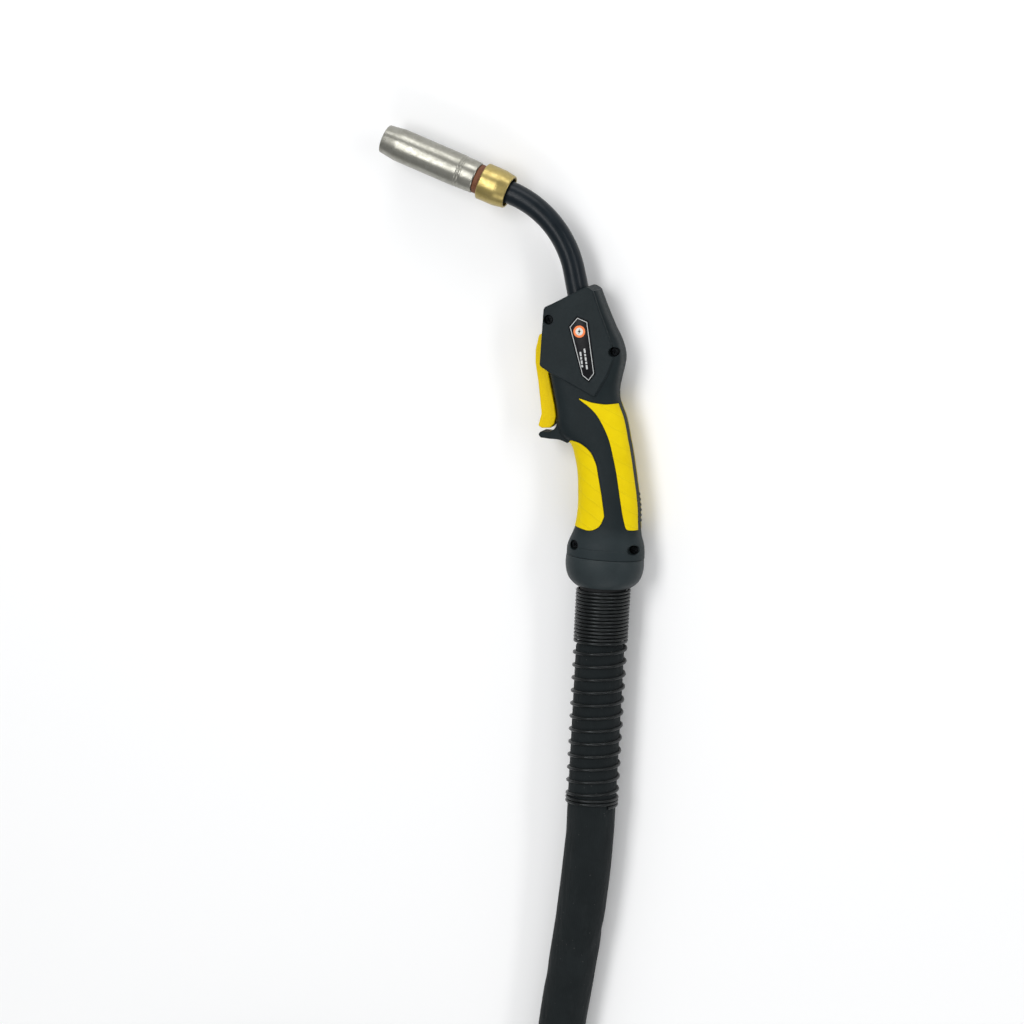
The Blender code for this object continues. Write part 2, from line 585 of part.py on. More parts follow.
add("trigger_pin", rod_mesh("trigger_pin", 1.45, (px, py, -11.8), (px, py, 11.8), 12), "steel")


def helix(centre, axis, turns, radius, start=0.0):
    """Points of a coil spring: turns is a list of (turn count, pitch, end radius, points a turn)."""
    axis = Vector(axis).normalized()
    side = Vector((0, 0, 1)) if abs(axis.z) < 0.9 else Vector((1, 0, 0))
    up = axis.cross(side)
    pts, angle, along, r = [], start, 0.0, radius
    for count, pitch, r_end, density in turns:
        n = max(2, round(count * density))
        for k in range(n):
            t = k / n
            a = angle + 2 * PI * count * t
            rr = r + (r_end - r) * t
            pts.append(Vector(centre) + axis * (along + pitch * count * t) + side * rr * math.cos(a) + up * rr * math.sin(a))
        angle += 2 * PI * count
        along += pitch * count
        r = r_end
    pts.append(Vector(centre) + axis * along + side * r * math.cos(angle) + up * r * math.sin(angle))
    return pts


tube("trigger_spring", "steel", helix((-42.9, 112.0, 0), (1, 0, 0), [(4.0, 2.2, 2.8, 8)], 2.8), 0.4, 0)

switch = softened(add("microswitch_body", box_mesh("microswitch_body", (-44.0, 134.0, -4.5), (-35.0, 153.0, 4.5)),
                      "shell"), 0.5, 1)
combine(switch, cutter("plunger_bore", rod_mesh("plunger_bore", 1.9, (-46, 146, 0), (-39.2, 146, 0), 12)), "DIFFERENCE")
turned("switch_plunger", "yellow", [(0.9, 7.6), (1.4, 7.1), (1.4, 0)], at=(-42.2, 146, 0), along=(-1, 0, 0), steps=12,
       pivot=(-42.2, 146, 0))
tube("switch_leads", "lead", smooth_path([(-38.9, 132.3, 0), (-34.5, 127.0, 0), (-28.0, 120.0, 0), (-24.5, 108.0, 0),
                                          (-19.5, 90.0, 0), (-12.8, 60.0, 0), (-11.0, 30.0, 0), (-11.0, -9.0, 0)], 18), 1.5, 1)
start = along_neck(62.4)
tube("power_cable", "rubber", smooth_path([start - SIDE_OUT * 2.5, (-17.9, 135, 0), (-14.2, 122, 0), (-9.3, 107, 0),
                                           (-5.0, 92, 0), (-1.3, 70, 0), (0, 45, 0), (0, 15, 0), (0, -9, 0)], 18), 6.9, 3)
tube("gas_hose", "hose", smooth_path([start + SIDE_OUT * 7.9, (-7.0, 135, 0), (-3.4, 122, 0), (1.6, 107, 0),
                                      (5.8, 92, 0), (9.5, 70, 0), (10.8, 45, 0), (11, 15, 0), (11, -9, 0)], 18), 3.2, 2)

# ---------------------------------------------------------------- rear cap, cable support and spring
CAP = [(1.7, 29.4, 23.6, 2.1), (-3.5, 29.7, 23.8, 2.1), (-8.5, 29.2, 23.5, 2.1), (-12.5, 28.2, 23.0, 2.1),
       (-16.0, 26.4, 22.2, 2.1), (-18.6, 24.0, 21.3, 2.05), (-20.6, 21.4, 20.2, 2.0)]
cap = add("rear_cap", loft_mesh("rear_cap", [oval(y, -a, a, b, n, n, 28) for y, a, b, n in CAP]), "shell")
combine(cap, cutter("cap_hollow", loft_mesh("cap_hollow", [oval(y, -a, a, b, 2.1, 2.1, 24) for y, a, b in (
    (4.0, 26.9, 21.4), (-8.0, 26.8, 21.3), (-13.9, 23.6, 20.2))])), "DIFFERENCE")
combine(cap, cutter("cap_bore", rod_mesh("cap_bore", 18.3, (0, -10, 0), (0, -24, 0), 36)), "DIFFERENCE")
turned("cable_support", "shell", [(19.6, 5.6), (19.6, 0.3), (17.3, 0.3), (17.3, -45.0)],
       [(16.15, -45.0), (16.15, 5.6)], at=(0, -13.6, 0), along=(0, 1, 0), steps=32)
spring_points = helix((0, -22.0, 0), (0, -1, 0),
                      [(1.0, 3.1, 19.4, 12), (14.0, 2.72, 19.35, 12), (12.0, 9.85, 19.0, 12), (2.6, 2.72, 18.9, 12)],
                      19.5, start=PI / 2)
tube("support_spring", "black_steel", spring_points, SPRING_WIRE / 2, 1)

# ---------------------------------------------------------------- cable: free run, coil and tail
FLOOR = -AXIS_HEIGHT
lay = FLOOR + COIL_TUBE_R


def run_x(y):
    """The free run's drift at y."""
    t = min(1.0, max(0.0, (-y - 198.0) / 245.0))
    return RUN_SHIFT * t * t * (3 - 2 * t)


sheath = [Vector((0, y, 0)) for y in (-9.6, -59.6, -62.6, -195.0, -198.0)]
sheath += [Vector((run_x(p.y), p.y, p.z)) for p in smooth_path(
    [(0, -198, 0), (0, -260, -2.2), (0, -330, lay * 0.93), (0, -400, lay), (0, COIL_Y + 117.5, lay)], 12)[1:]]
radii = [SHEATH_R_IN_SUPPORT if p.y > -60 else SHEATH_R_IN_SPRING if p.y > -196 else SHEATH_R for p in sheath]
tube("cable_sheath", "fabric", sheath, radii, 4)


def two_turn_section(steps=4):
    """Outline of two touching turns lying side by side: a flat bottom and a valley on top."""
    r = COIL_TUBE_R
    pts = []
    for k in range(steps + 1):                      # outer turn, from the valley down to the floor
        a = math.radians(152 - (152 + 90) * k / steps)
        pts.append((COIL_R_OUT + r * math.cos(a), r + r * math.sin(a)))
    for k in range(steps + 1):                      # inner turn, from the floor up to the valley
        a = math.radians(-90 - (152 + 90 - 28) * k / steps)
        pts.append((COIL_R_IN + r * math.cos(a), r + r * math.sin(a)))
    return pts


section = two_turn_section(5)
coil_at = (COIL_X, COIL_Y, FLOOR)
turned("cable_coil", "fabric", section[:6], section[6:], at=coil_at, steps=36)

VALLEY = 48.4 + FLOOR
MID_R = (COIL_R_OUT + COIL_R_IN) / 2


def on_coil(deg, radius, z):
    """A point over the coil, deg clockwise from the side where the cable comes in."""
    a = math.radians(deg)
    return Vector((COIL_X + radius * math.cos(a), COIL_Y - radius * math.sin(a), z))


tail_keys = [on_coil(-45, MID_R, VALLEY + 0.6), on_coil(-28, MID_R, VALLEY + 4.4), on_coil(-8, MID_R, VALLEY + 4.4),
             on_coil(12, MID_R, VALLEY + 2.0), on_coil(32, MID_R, VALLEY + 3.0), on_coil(54, MID_R, VALLEY + 8.4),
             on_coil(74, MID_R, CONNECTOR_Z - 0.6), on_coil(90, MID_R, CONNECTOR_Z)]
end_x, end_y = COIL_X - 46.0, COIL_Y - MID_R
tail = smooth_path(tail_keys + [Vector((COIL_X - 22, end_y, CONNECTOR_Z)), Vector((end_x, end_y, CONNECTOR_Z))], 20)
tube("cable_tail", "fabric", tail, SHEATH_R, 3)

# ---------------------------------------------------------------- machine connector, lying on the coil
BASE = Vector((end_x, end_y, CONNECTOR_Z))
OUT = (-1, 0, 0)


def plug(name, color, outer, inner=None, steps=20, pivot=None):
    return turned(name, color, outer, inner, BASE, OUT, steps, pivot)


plug("connector_boot", "rubber", [(22.6, 8.0), (22.6, 2.0), (21.4, -6.0), (19.0, -36.0)], [(17.6, -36.0), (17.6, 8.0)])
housing = turned_mesh("housing", [(22.6, 66.0), (23.3, 65.0), (23.3, 12.0), (22.0, 8.3)],
                      [(17.0, 8.3), (20.8, 12.0), (20.8, 66.0)], BASE, OUT, 20)
SCREW_AT = [(BASE.x - 26.0, BASE.y + s * 17.4) for s in (-1, 1)]
for half, sign in (("upper", 1), ("lower", -1)):
    low, high = (-40.0, 0.15) if sign > 0 else (-0.15, 40.0)
    made = add(f"connector_housing_{half}", housing.copy(), "shell")
    for k, (x, y) in enumerate(SCREW_AT):
        combine(made, cutter(f"plug_column_{half}_{k}", rod_mesh("plug_column", 3.4, (x, y, BASE.z - 13), (x, y, BASE.z + 13), 12)), "UNION")
    for k, (x, y) in enumerate(SCREW_AT):
        combine(made, cutter(f"plug_head_bore_{half}_{k}", rod_mesh("plug_head_bore", 2.7, (x, y, BASE.z + 10), (x, y, BASE.z + 24), 12)), "DIFFERENCE")
        combine(made, cutter(f"plug_bore_{half}_{k}", rod_mesh("plug_bore", 1.5, (x, y, BASE.z + 11), (x, y, BASE.z - 9), 10)), "DIFFERENCE")
    combine(made, cutter(f"plug_beyond_{half}", box_mesh("plug_beyond", (BASE.x - 90, BASE.y - 40, BASE.z + low),
                                                        (BASE.x + 20, BASE.y + 40, BASE.z + high))), "DIFFERENCE")
for k, (x, y) in enumerate(SCREW_AT):
    turned(f"connector_screw_{'ab'[k]}", "black_steel", [(2.3, 12.4), (2.3, 10.3), (1.15, 10.3), (1.15, -8.4)],
           at=(x, y, BASE.z), steps=10)

PIN_OFFSET = [Vector((0, s * 9.0, 8.0)) for s in (-1, 1)]
body_ob = plug("connector_body", "brass", [(17.6, 78.0), (18.2, 77.4), (18.2, 67.0), (20.4, 67.0), (20.4, 42.0)],
               [(5.4, 42.0), (5.4, 78.0)])
for k, off in enumerate(PIN_OFFSET):
    c = BASE + off
    combine(body_ob, cutter(f"pin_bore_{k}", rod_mesh("pin_bore", 2.7, c + Vector((-40, 0, 0)), c + Vector((-80, 0, 0)), 14)), "DIFFERENCE")
plug("connector_wire_tube", "brass", [(3.6, 108.0), (5.0, 105.5), (5.0, 44.0)], [(2.2, 44.0), (2.2, 108.0)], 14)
plug("connector_o_ring", "rubber", [(6.4 + 1.0 * math.cos(a), 98 + 1.0 * math.sin(a)) for a in [PI / 2 - k * PI / 4 for k in range(5)]],
     [(6.4 + 1.0 * math.cos(a), 98 + 1.0 * math.sin(a)) for a in [-PI / 2 - k * PI / 4 for k in (1, 2, 3)]], 14)
ring = plug("connector_lock_ring", "shell", [(25.0, 86.0), (26.0, 85.0), (26.0, 60.5), (25.2, 59.5)],
            [(23.8, 59.5), (23.8, 67.4), (18.8, 67.4), (18.8, 71.0), (21.5, 71.0), (21.5, 86.0)], 24,
            pivot=BASE + Vector((-72, 0, 0)))
for k in range(6):
    a = 2 * PI * (k + 0.5) / 6
    off = Vector((0, math.cos(a), math.sin(a))) * 27.6
    combine(ring, cutter(f"ring_flute_{k}", rod_mesh("ring_flute", 3.2, BASE + off + Vector((-62, 0, 0)), BASE + off + Vector((-88, 0, 0)), 8)), "DIFFERENCE")
for k, off in enumerate(PIN_OFFSET):
    c = BASE + off
    turned(f"control_pin_{'ab'[k]}", "brass", [(1.2, 87.0), (1.9, 86.2), (1.9, 66.0)], at=c, along=OUT, steps=12,
           pivot=c + Vector((-66, 0, 0)))
    tube(f"pin_spring_{'ab'[k]}", "steel", helix(c + Vector((-50.0, 0, 0)), OUT, [(4.0, 3.8, 1.75, 6)], 1.75), 0.35, 0)
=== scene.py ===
"""Looks of the MIG welding torch: its cable, its skin at full detail, materials, light and camera.

Shapes are laid out in millimetres in the torch's own plane (cable axis x = 0, cap seam near
y = 3, parting plane z = 0) and moved to the row frame by TO_WORLD.
"""
import json
import math

import bmesh
import bpy
from mathutils import Matrix, Vector, noise

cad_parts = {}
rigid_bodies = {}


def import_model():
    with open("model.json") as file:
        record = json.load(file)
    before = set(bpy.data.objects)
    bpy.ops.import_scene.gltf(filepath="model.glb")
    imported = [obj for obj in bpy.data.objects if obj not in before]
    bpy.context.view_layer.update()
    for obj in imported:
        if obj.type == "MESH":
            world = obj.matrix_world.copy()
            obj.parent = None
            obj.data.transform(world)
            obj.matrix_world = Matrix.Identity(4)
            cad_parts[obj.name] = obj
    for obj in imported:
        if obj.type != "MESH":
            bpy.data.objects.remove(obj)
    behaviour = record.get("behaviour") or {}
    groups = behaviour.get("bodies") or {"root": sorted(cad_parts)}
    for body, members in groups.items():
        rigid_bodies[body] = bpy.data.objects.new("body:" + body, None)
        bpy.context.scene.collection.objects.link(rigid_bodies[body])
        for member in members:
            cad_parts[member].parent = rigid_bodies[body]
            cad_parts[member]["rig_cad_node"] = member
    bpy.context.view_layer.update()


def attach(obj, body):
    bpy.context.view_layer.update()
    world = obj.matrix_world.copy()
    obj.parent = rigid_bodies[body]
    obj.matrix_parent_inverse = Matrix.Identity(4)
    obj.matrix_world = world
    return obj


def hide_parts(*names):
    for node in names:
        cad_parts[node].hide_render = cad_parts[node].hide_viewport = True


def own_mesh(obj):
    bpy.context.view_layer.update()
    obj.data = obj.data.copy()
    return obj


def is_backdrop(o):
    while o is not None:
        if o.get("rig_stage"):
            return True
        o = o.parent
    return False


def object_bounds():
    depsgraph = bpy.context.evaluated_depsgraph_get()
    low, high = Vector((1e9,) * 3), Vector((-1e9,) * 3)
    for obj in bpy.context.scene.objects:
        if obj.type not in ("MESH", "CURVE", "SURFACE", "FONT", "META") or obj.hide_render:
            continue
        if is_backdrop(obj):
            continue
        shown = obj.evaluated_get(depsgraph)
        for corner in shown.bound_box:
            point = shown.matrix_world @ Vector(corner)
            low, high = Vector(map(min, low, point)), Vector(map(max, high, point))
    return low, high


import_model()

PI = math.pi
TO_WORLD = Matrix.Translation((0.08055, -0.0612, 0.02366)) @ Matrix.Scale(0.001, 4)
AXIS_HEIGHT = 23.66
FLOOR = -AXIS_HEIGHT
scene = bpy.context.scene

# ================================================================ camera
RIGHT = Vector((0.9617, 0.0504, -0.2700)).normalized()
UP = Vector((-0.0911, 0.9856, -0.1406))
UP = (UP - RIGHT * UP.dot(RIGHT)).normalized()
BACK = RIGHT.cross(UP)
LOOK_AT = Vector((0.0103, -0.0307, 0.0376))
DISTANCE = 3.0
camera_data = bpy.data.cameras.new("camera")
camera_data.sensor_width = 36.0
camera_data.lens = 36.0 * DISTANCE / 0.768
camera_data.clip_end = 50
camera = bpy.data.objects.new("camera", camera_data)
scene.collection.objects.link(camera)
camera.matrix_world = Matrix.Translation(LOOK_AT + BACK * DISTANCE) @ Matrix((RIGHT, UP, BACK)).transposed().to_4x4()
scene.camera = camera


# ================================================================ node helpers
class Skin:
    """A procedural material: P is the point in millimetres, in the row frame at rest."""

    def __init__(self, name):
        self.m = bpy.data.materials.new(name)
        self.m.use_nodes = True
        self.nt = self.m.node_tree
        self.nt.nodes.clear()
        out = self.nt.nodes.new("ShaderNodeOutputMaterial")
        self.bsdf = self.nt.nodes.new("ShaderNodeBsdfPrincipled")
        self.nt.links.new(self.bsdf.outputs[0], out.inputs[0])
        self.coords = self.nt.nodes.new("ShaderNodeTexCoord")
        self.P = self.mapped(self.coords.outputs["Object"], scale=(1000, 1000, 1000))

    def put(self, node, socket, value):
        slot = node.inputs[socket]
        if isinstance(value, bpy.types.NodeSocket):
            self.nt.links.new(value, slot)
        elif isinstance(value, (tuple, list)) and slot.type == "RGBA":
            slot.default_value = tuple(value)[:3] + (1.0,)
        else:
            slot.default_value = value

    def set(self, **values):
        for key, value in values.items():
            self.put(self.bsdf, key.replace("_", " "), value)
        return self

    def mapped(self, vector, scale=(1, 1, 1), rot=(0, 0, 0), loc=(0, 0, 0)):
        n = self.nt.nodes.new("ShaderNodeMapping")
        self.put(n, "Vector", vector)
        n.inputs["Scale"].default_value = scale
        n.inputs["Rotation"].default_value = rot
        n.inputs["Location"].default_value = loc
        return n.outputs[0]

    def noise(self, vector, scale, detail=2.0, rough=0.5, distortion=0.0):
        n = self.nt.nodes.new("ShaderNodeTexNoise")
        self.put(n, "Vector", vector)
        self.put(n, "Scale", scale)
        self.put(n, "Detail", detail)
        self.put(n, "Roughness", rough)
        self.put(n, "Distortion", distortion)
        return n.outputs["Fac"]

    def cells(self, vector, scale, randomness=1.0):
        n = self.nt.nodes.new("ShaderNodeTexVoronoi")
        self.put(n, "Vector", vector)
        self.put(n, "Scale", scale)
        self.put(n, "Randomness", randomness)
        return n.outputs["Distance"]

    def math(self, op, a, b=0.0, c=0.0, clamp=False):
        n = self.nt.nodes.new("ShaderNodeMath")
        n.operation = op
        n.use_clamp = clamp
        for k, v in enumerate((a, b, c)):
            self.put(n, k, v)
        return n.outputs[0]

    def range(self, value, low, high, to_low=0.0, to_high=1.0):
        n = self.nt.nodes.new("ShaderNodeMapRange")
        for k, v in enumerate((value, low, high, to_low, to_high)):
            self.put(n, k, v)
        return n.outputs[0]

    def mix(self, fac, a, b):
        n = self.nt.nodes.new("ShaderNodeMix")
        n.data_type = "RGBA"
        self.put(n, 0, fac)
        self.put(n, 6, a)
        self.put(n, 7, b)
        return n.outputs[2]

    def axis(self, vector, which):
        n = self.nt.nodes.new("ShaderNodeSeparateXYZ")
        self.put(n, 0, vector)
        return n.outputs[which]

    def bump(self, height, distance, strength=1.0, normal=None):
        """distance in metres for a height of 1."""
        n = self.nt.nodes.new("ShaderNodeBump")
        self.put(n, "Height", height)
        self.put(n, "Distance", distance)
        self.put(n, "Strength", strength)
        if normal is not None:
            self.put(n, "Normal", normal)
        return n.outputs[0]

    def rounded(self, radius):
        n = self.nt.nodes.new("ShaderNodeBevel")
        n.samples = 4
        self.put(n, "Radius", radius)
        return n.outputs[0]

    def edge(self, round_normal):
        """How far the rounded normal leans away from the surface's own: 0 on flats, more on edges."""
        g = self.nt.nodes.new("ShaderNodeNewGeometry")
        d = self.nt.nodes.new("ShaderNodeVectorMath")
        d.operation = "DOT_PRODUCT"
        self.put(d, 0, round_normal)
        self.put(d, 1, g.outputs["Normal"])
        return self.math("SUBTRACT", 1.0, d.outputs["Value"], clamp=True)


def moulded(name, dark, light, rough, grain=0.035, edge_color=None, radius=0.0006, speck=0.0, spec=0.30,
             collar=None):
    """Moulded plastic with a fine spark-eroded grain, edges rubbed a little lighter, and, when collar is given, a
    painted highlight that makes the flared collar paler.
    """
    s = Skin(name)
    round_n = s.rounded(radius)
    fine = s.noise(s.P, 2.6, 3.0, 0.65)
    coarse = s.noise(s.P, 0.75, 2.0, 0.5)
    cloud = s.noise(s.P, 0.045, 3.0, 0.6)
    height = s.math("ADD", s.math("MULTIPLY", fine, 0.6), s.math("MULTIPLY", coarse, 0.4))
    color = s.mix(s.range(cloud, 0.3, 0.7), dark, light)
    color = s.mix(s.range(fine, 0.50, 0.74, 0.0, 0.70), color, tuple(min(1, c * 1.55) for c in light))
    if collar:                                  # painted highlight: the flared collar is painted paler, as if more brightly lit
        color = s.mix(s.range(s.axis(s.P, 1), -35.0, -45.0, 0.0, s.range(cloud, 0.3, 0.7, 0.75, 1.0)), color, collar)
    if edge_color:
        rub = s.math("MULTIPLY", s.range(s.edge(round_n), 0.01, 0.12), s.range(coarse, 0.35, 0.65, 0.25, 0.9))
        color = s.mix(rub, color, edge_color)
    if speck:
        dust = s.math("LESS_THAN", s.cells(s.P, 0.16), speck)
        color = s.mix(s.math("MULTIPLY", dust, 0.35), color, (0.25, 0.25, 0.24))
    s.set(Base_Color=color, Roughness=s.range(coarse, 0.3, 0.7, rough - 0.06, rough + 0.08),
          Normal=s.bump(height, grain * 0.001, 1.0, round_n))
    s.bsdf.inputs["Specular IOR Level"].default_value = spec
    return s.m


def turned_metal(name, dark, light, rough, angle=0.0, lines=7.0, blotch=0.5, radius=0.0003, depth=0.012):
    """Metal turned on a lathe: fine rings round the axis, which points along X turned by angle, and stains."""
    s = Skin(name)
    round_n = s.rounded(radius)
    local = s.mapped(s.P, rot=(0, 0, -angle))
    rings = s.noise(s.mapped(local, scale=(lines, 0.10, 0.10)), 1.0, 2.0, 0.7)
    drag = s.noise(s.mapped(local, scale=(0.10, 1.6, 1.6)), 1.0, 3.0, 0.7)
    stain = s.noise(s.P, 0.16, 4.0, 0.65, 0.6)
    pits = s.noise(s.P, 1.9, 2.0, 0.6)
    color = s.mix(s.range(stain, 0.35, 0.68), dark, light)
    color = s.mix(s.range(rings, 0.56, 0.78, 0.0, 0.30), color, tuple(c * 0.62 for c in dark))
    color = s.mix(s.range(s.math("ADD", pits, s.math("MULTIPLY", stain, 0.4)), 0.80, 0.95, 0.0, blotch), color,
                  tuple(c * 0.45 for c in dark))
    r = s.math("ADD", s.range(stain, 0.3, 0.7, rough + 0.07, rough - 0.04), s.range(drag, 0.4, 0.7, 0.0, 0.10))
    height = s.math("ADD", rings, s.math("ADD", s.math("MULTIPLY", drag, 0.5), s.math("MULTIPLY", pits, 0.5)))
    s.set(Base_Color=color, Metallic=1.0, Roughness=r, Normal=s.bump(height, depth * 0.001, 1.0, round_n))
    return s.m


def grip_rubber(name):
    """Soft two-shot pads: thin raised ridges run down across them, about 9 mm apart."""
    s = Skin(name)
    round_n = s.rounded(0.0005)
    x, y = s.axis(s.P, 0), s.axis(s.P, 1)
    wander = s.math("MULTIPLY", s.noise(s.P, 0.08, 1.0), 1.6)
    q = s.math("ADD", s.math("ADD", s.math("MULTIPLY", x, 0.5), s.math("MULTIPLY", y, 0.866)), wander)
    phase = s.math("FRACT", s.math("DIVIDE", s.math("ADD", q, 400.0), 9.1))
    off = s.math("ABSOLUTE", s.math("SUBTRACT", phase, 0.5))
    ridge = s.range(off, 0.0, 0.045, 1.0, 0.0)
    foot = s.range(s.math("ABSOLUTE", s.math("SUBTRACT", phase, 0.43)), 0.0, 0.05, 1.0, 0.0)
    fine = s.noise(s.P, 2.2, 3.0, 0.6)
    cloud = s.noise(s.P, 0.06, 3.0, 0.6)
    color = s.mix(s.range(cloud, 0.3, 0.7), (0.690, 0.510, 0.000), (0.745, 0.565, 0.000))
    # painted highlight: the tops of the ridges are painted lighter
    color = s.mix(s.math("MULTIPLY", ridge, 0.26), color, (0.86, 0.70, 0.010))
    # painted shade: a darker band is painted at the foot of each ridge
    color = s.mix(s.math("MULTIPLY", foot, 0.15), color, (0.45, 0.32, 0.000))
    grime = s.range(s.noise(s.P, 0.35, 4.0, 0.7, 0.4), 0.60, 0.82, 0.0, 0.20)
    color = s.mix(grime, color, (0.52, 0.37, 0.002))
    height = s.math("ADD", s.math("MULTIPLY", ridge, 1.0), s.math("MULTIPLY", fine, 0.10))
    s.set(Base_Color=color, Roughness=s.range(fine, 0.3, 0.7, 0.55, 0.68), Normal=s.bump(height, 0.00020, 1.0, round_n))
    s.bsdf.inputs["Specular IOR Level"].default_value = 0.10
    return s.m


def woven_sheath(name):
    """Matte woven sleeve: a fine weave that follows the cable by its own length and angle, lint and rub marks."""
    s = Skin(name)
    uv = s.nt.nodes.new("ShaderNodeUVMap")
    uv.uv_map = "run"
    u = s.axis(uv.outputs[0], 0)          # metres along the cable
    v = s.axis(uv.outputs[0], 1)          # turns round it
    a = s.math("SINE", s.math("ADD", s.math("MULTIPLY", u, 2 * PI * 620), s.math("MULTIPLY", v, 2 * PI * 40)))
    b = s.math("SINE", s.math("SUBTRACT", s.math("MULTIPLY", u, 2 * PI * 620), s.math("MULTIPLY", v, 2 * PI * 40)))
    weave = s.math("MULTIPLY", a, b)
    cloud = s.noise(s.P, 0.05, 4.0, 0.6, 0.5)
    fluff = s.noise(s.P, 2.4, 3.0, 0.7)
    lint = s.math("LESS_THAN", s.cells(s.P, 0.22), 0.055)
    rub = s.range(s.noise(s.mapped(s.P, scale=(1.0, 0.25, 1.0)), 0.16, 4.0, 0.7, 0.8), 0.55, 0.78)
    color = s.mix(s.range(cloud, 0.3, 0.7), (0.0062, 0.0084, 0.0091), (0.0100, 0.0132, 0.0142))
    color = s.mix(s.range(weave, -1.0, 1.0, 0.0, 0.22), color, (0.020, 0.025, 0.027))
    color = s.mix(s.math("MULTIPLY", rub, 0.30), color, (0.022, 0.026, 0.027))
    color = s.mix(s.math("MULTIPLY", lint, 0.30), color, (0.30, 0.29, 0.27))
    height = s.math("ADD", s.math("MULTIPLY", weave, 0.22), s.math("MULTIPLY", fluff, 0.8))
    crease = s.noise(s.mapped(s.P, rot=(0, 0, 0.7), scale=(1.0, 0.22, 1.0)), 0.12, 3.0, 0.5, 0.3)
    n = s.bump(crease, 0.0016, 1.0)
    s.set(Base_Color=color, Roughness=s.range(fluff, 0.3, 0.7, 0.78, 0.95), Normal=s.bump(height, 0.00008, 1.0, n),
          Sheen_Weight=0.05, Sheen_Roughness=0.5)
    s.bsdf.inputs["Specular IOR Level"].default_value = 0.12
    return s.m


def neck_skin(name):
    """Glossy heat-shrunk cover: a little orange peel and long drawn streaks."""
    s = Skin(name)
    peel = s.noise(s.P, 0.55, 2.0, 0.5)
    fine = s.noise(s.P, 2.5, 2.0, 0.6)
    smear = s.noise(s.mapped(s.P, scale=(0.3, 0.3, 1.2)), 0.3, 4.0, 0.7, 0.6)
    color = s.mix(s.range(smear, 0.3, 0.7), (0.0028, 0.0060, 0.0092), (0.0048, 0.0092, 0.0135))
    height = s.math("ADD", s.math("MULTIPLY", peel, 0.8), s.math("MULTIPLY", fine, 0.12))
    s.set(Base_Color=color, Roughness=s.range(smear, 0.3, 0.72, 0.28, 0.38), Normal=s.bump(height, 0.00008))
    s.bsdf.inputs["Specular IOR Level"].default_value = 0.20
    return s.m


def black_wire(name):
    """Black oiled spring wire, drawn, with pale streaks along it painted in as a painted highlight."""
    s = Skin(name)
    drawn = s.noise(s.mapped(s.P, scale=(0.25, 5.0, 0.25)), 1.0, 3.0, 0.7)
    patch = s.noise(s.P, 0.30, 4.0, 0.7)
    color = s.mix(s.range(patch, 0.35, 0.7), (0.0045, 0.0062, 0.0068), (0.0150, 0.0180, 0.0185))
    # painted highlight: pale streaks along the drawn wire
    color = s.mix(s.range(s.math("ADD", drawn, patch), 1.18, 1.42, 0.0, 0.30), color, (0.12, 0.125, 0.12))
    s.set(Base_Color=color, Metallic=0.55, Roughness=s.range(patch, 0.3, 0.7, 0.40, 0.26),
          Normal=s.bump(drawn, 0.00004))
    return s.m


def fibre(name):
    """Brown pressed insulator: dark and pale grains in a dull binder."""
    s = Skin(name)
    grain = s.noise(s.P, 1.8, 4.0, 0.75)
    big = s.noise(s.P, 0.35, 3.0, 0.6)
    color = s.mix(s.range(grain, 0.35, 0.68), (0.070, 0.024, 0.011), (0.250, 0.098, 0.046))
    color = s.mix(s.range(big, 0.5, 0.75, 0.0, 0.5), color, (0.130, 0.048, 0.022))
    s.set(Base_Color=color, Roughness=s.range(big, 0.3, 0.7, 0.52, 0.68), Normal=s.bump(grain, 0.00004, 1.0, s.rounded(0.0003)))
    s.bsdf.inputs["Specular IOR Level"].default_value = 0.25
    return s.m


def simple_print(name, a, b, rough=0.45, spec=0.4):
    s = Skin(name)
    g = s.noise(s.P, 1.2, 4.0, 0.7)
    f = s.noise(s.P, 3.5, 2.0, 0.6)
    s.set(Base_Color=s.mix(s.range(g, 0.3, 0.7), a, b), Roughness=s.range(f, 0.3, 0.7, rough - 0.08, rough + 0.1),
          Normal=s.bump(f, 0.00002, 1.0, s.rounded(0.0002)))
    s.bsdf.inputs["Specular IOR Level"].default_value = spec
    return s.m


# the last colour is a painted highlight that makes the flared collar paler
SHELL = moulded("shell_plastic", (0.0068, 0.0112, 0.0128), (0.0096, 0.0150, 0.0170), 0.50, 0.034,
                (0.028, 0.036, 0.039), 0.0007, 0.0, 0.13, (0.0185, 0.0262, 0.0290))
CAP_PLASTIC = moulded("cap_plastic", (0.0150, 0.0215, 0.0238), (0.0205, 0.0285, 0.0312), 0.45, 0.024,
                      (0.040, 0.050, 0.053), 0.0006, 0.0, 0.20)
PADS_SKIN = grip_rubber("grip_pad_rubber")
TRIGGER_SKIN = moulded("trigger_plastic", (0.660, 0.455, 0.000), (0.735, 0.525, 0.000), 0.42, 0.010,
                       (0.80, 0.60, 0.006), 0.0008, 0.0, 0.08)
NICKEL = turned_metal("nickel_plate", (0.265, 0.260, 0.226), (0.350, 0.344, 0.305), 0.29, math.radians(-18.68), 5.0, 0.22,
                      depth=0.0028)
BRASS = turned_metal("brass_turned", (0.365, 0.285, 0.100), (0.450, 0.362, 0.142), 0.31, math.radians(-18.68), 6.0, 0.14,
                     depth=0.0022)
BRASS_X = turned_metal("brass_connector", (0.52, 0.395, 0.155), (0.70, 0.560, 0.260), 0.24, 0.0, 6.0, 0.20, depth=0.004)
COPPER = turned_metal("copper_tip", (0.52, 0.22, 0.12), (0.80, 0.42, 0.27), 0.30, math.radians(-18.68), 6.0, 0.45)
STEEL = turned_metal("zinc_steel", (0.36, 0.36, 0.36), (0.60, 0.60, 0.58), 0.32, 0.0, 3.0, 0.4)
BROWN = fibre("fibre_insulator")
NECK = neck_skin("neck_cover")
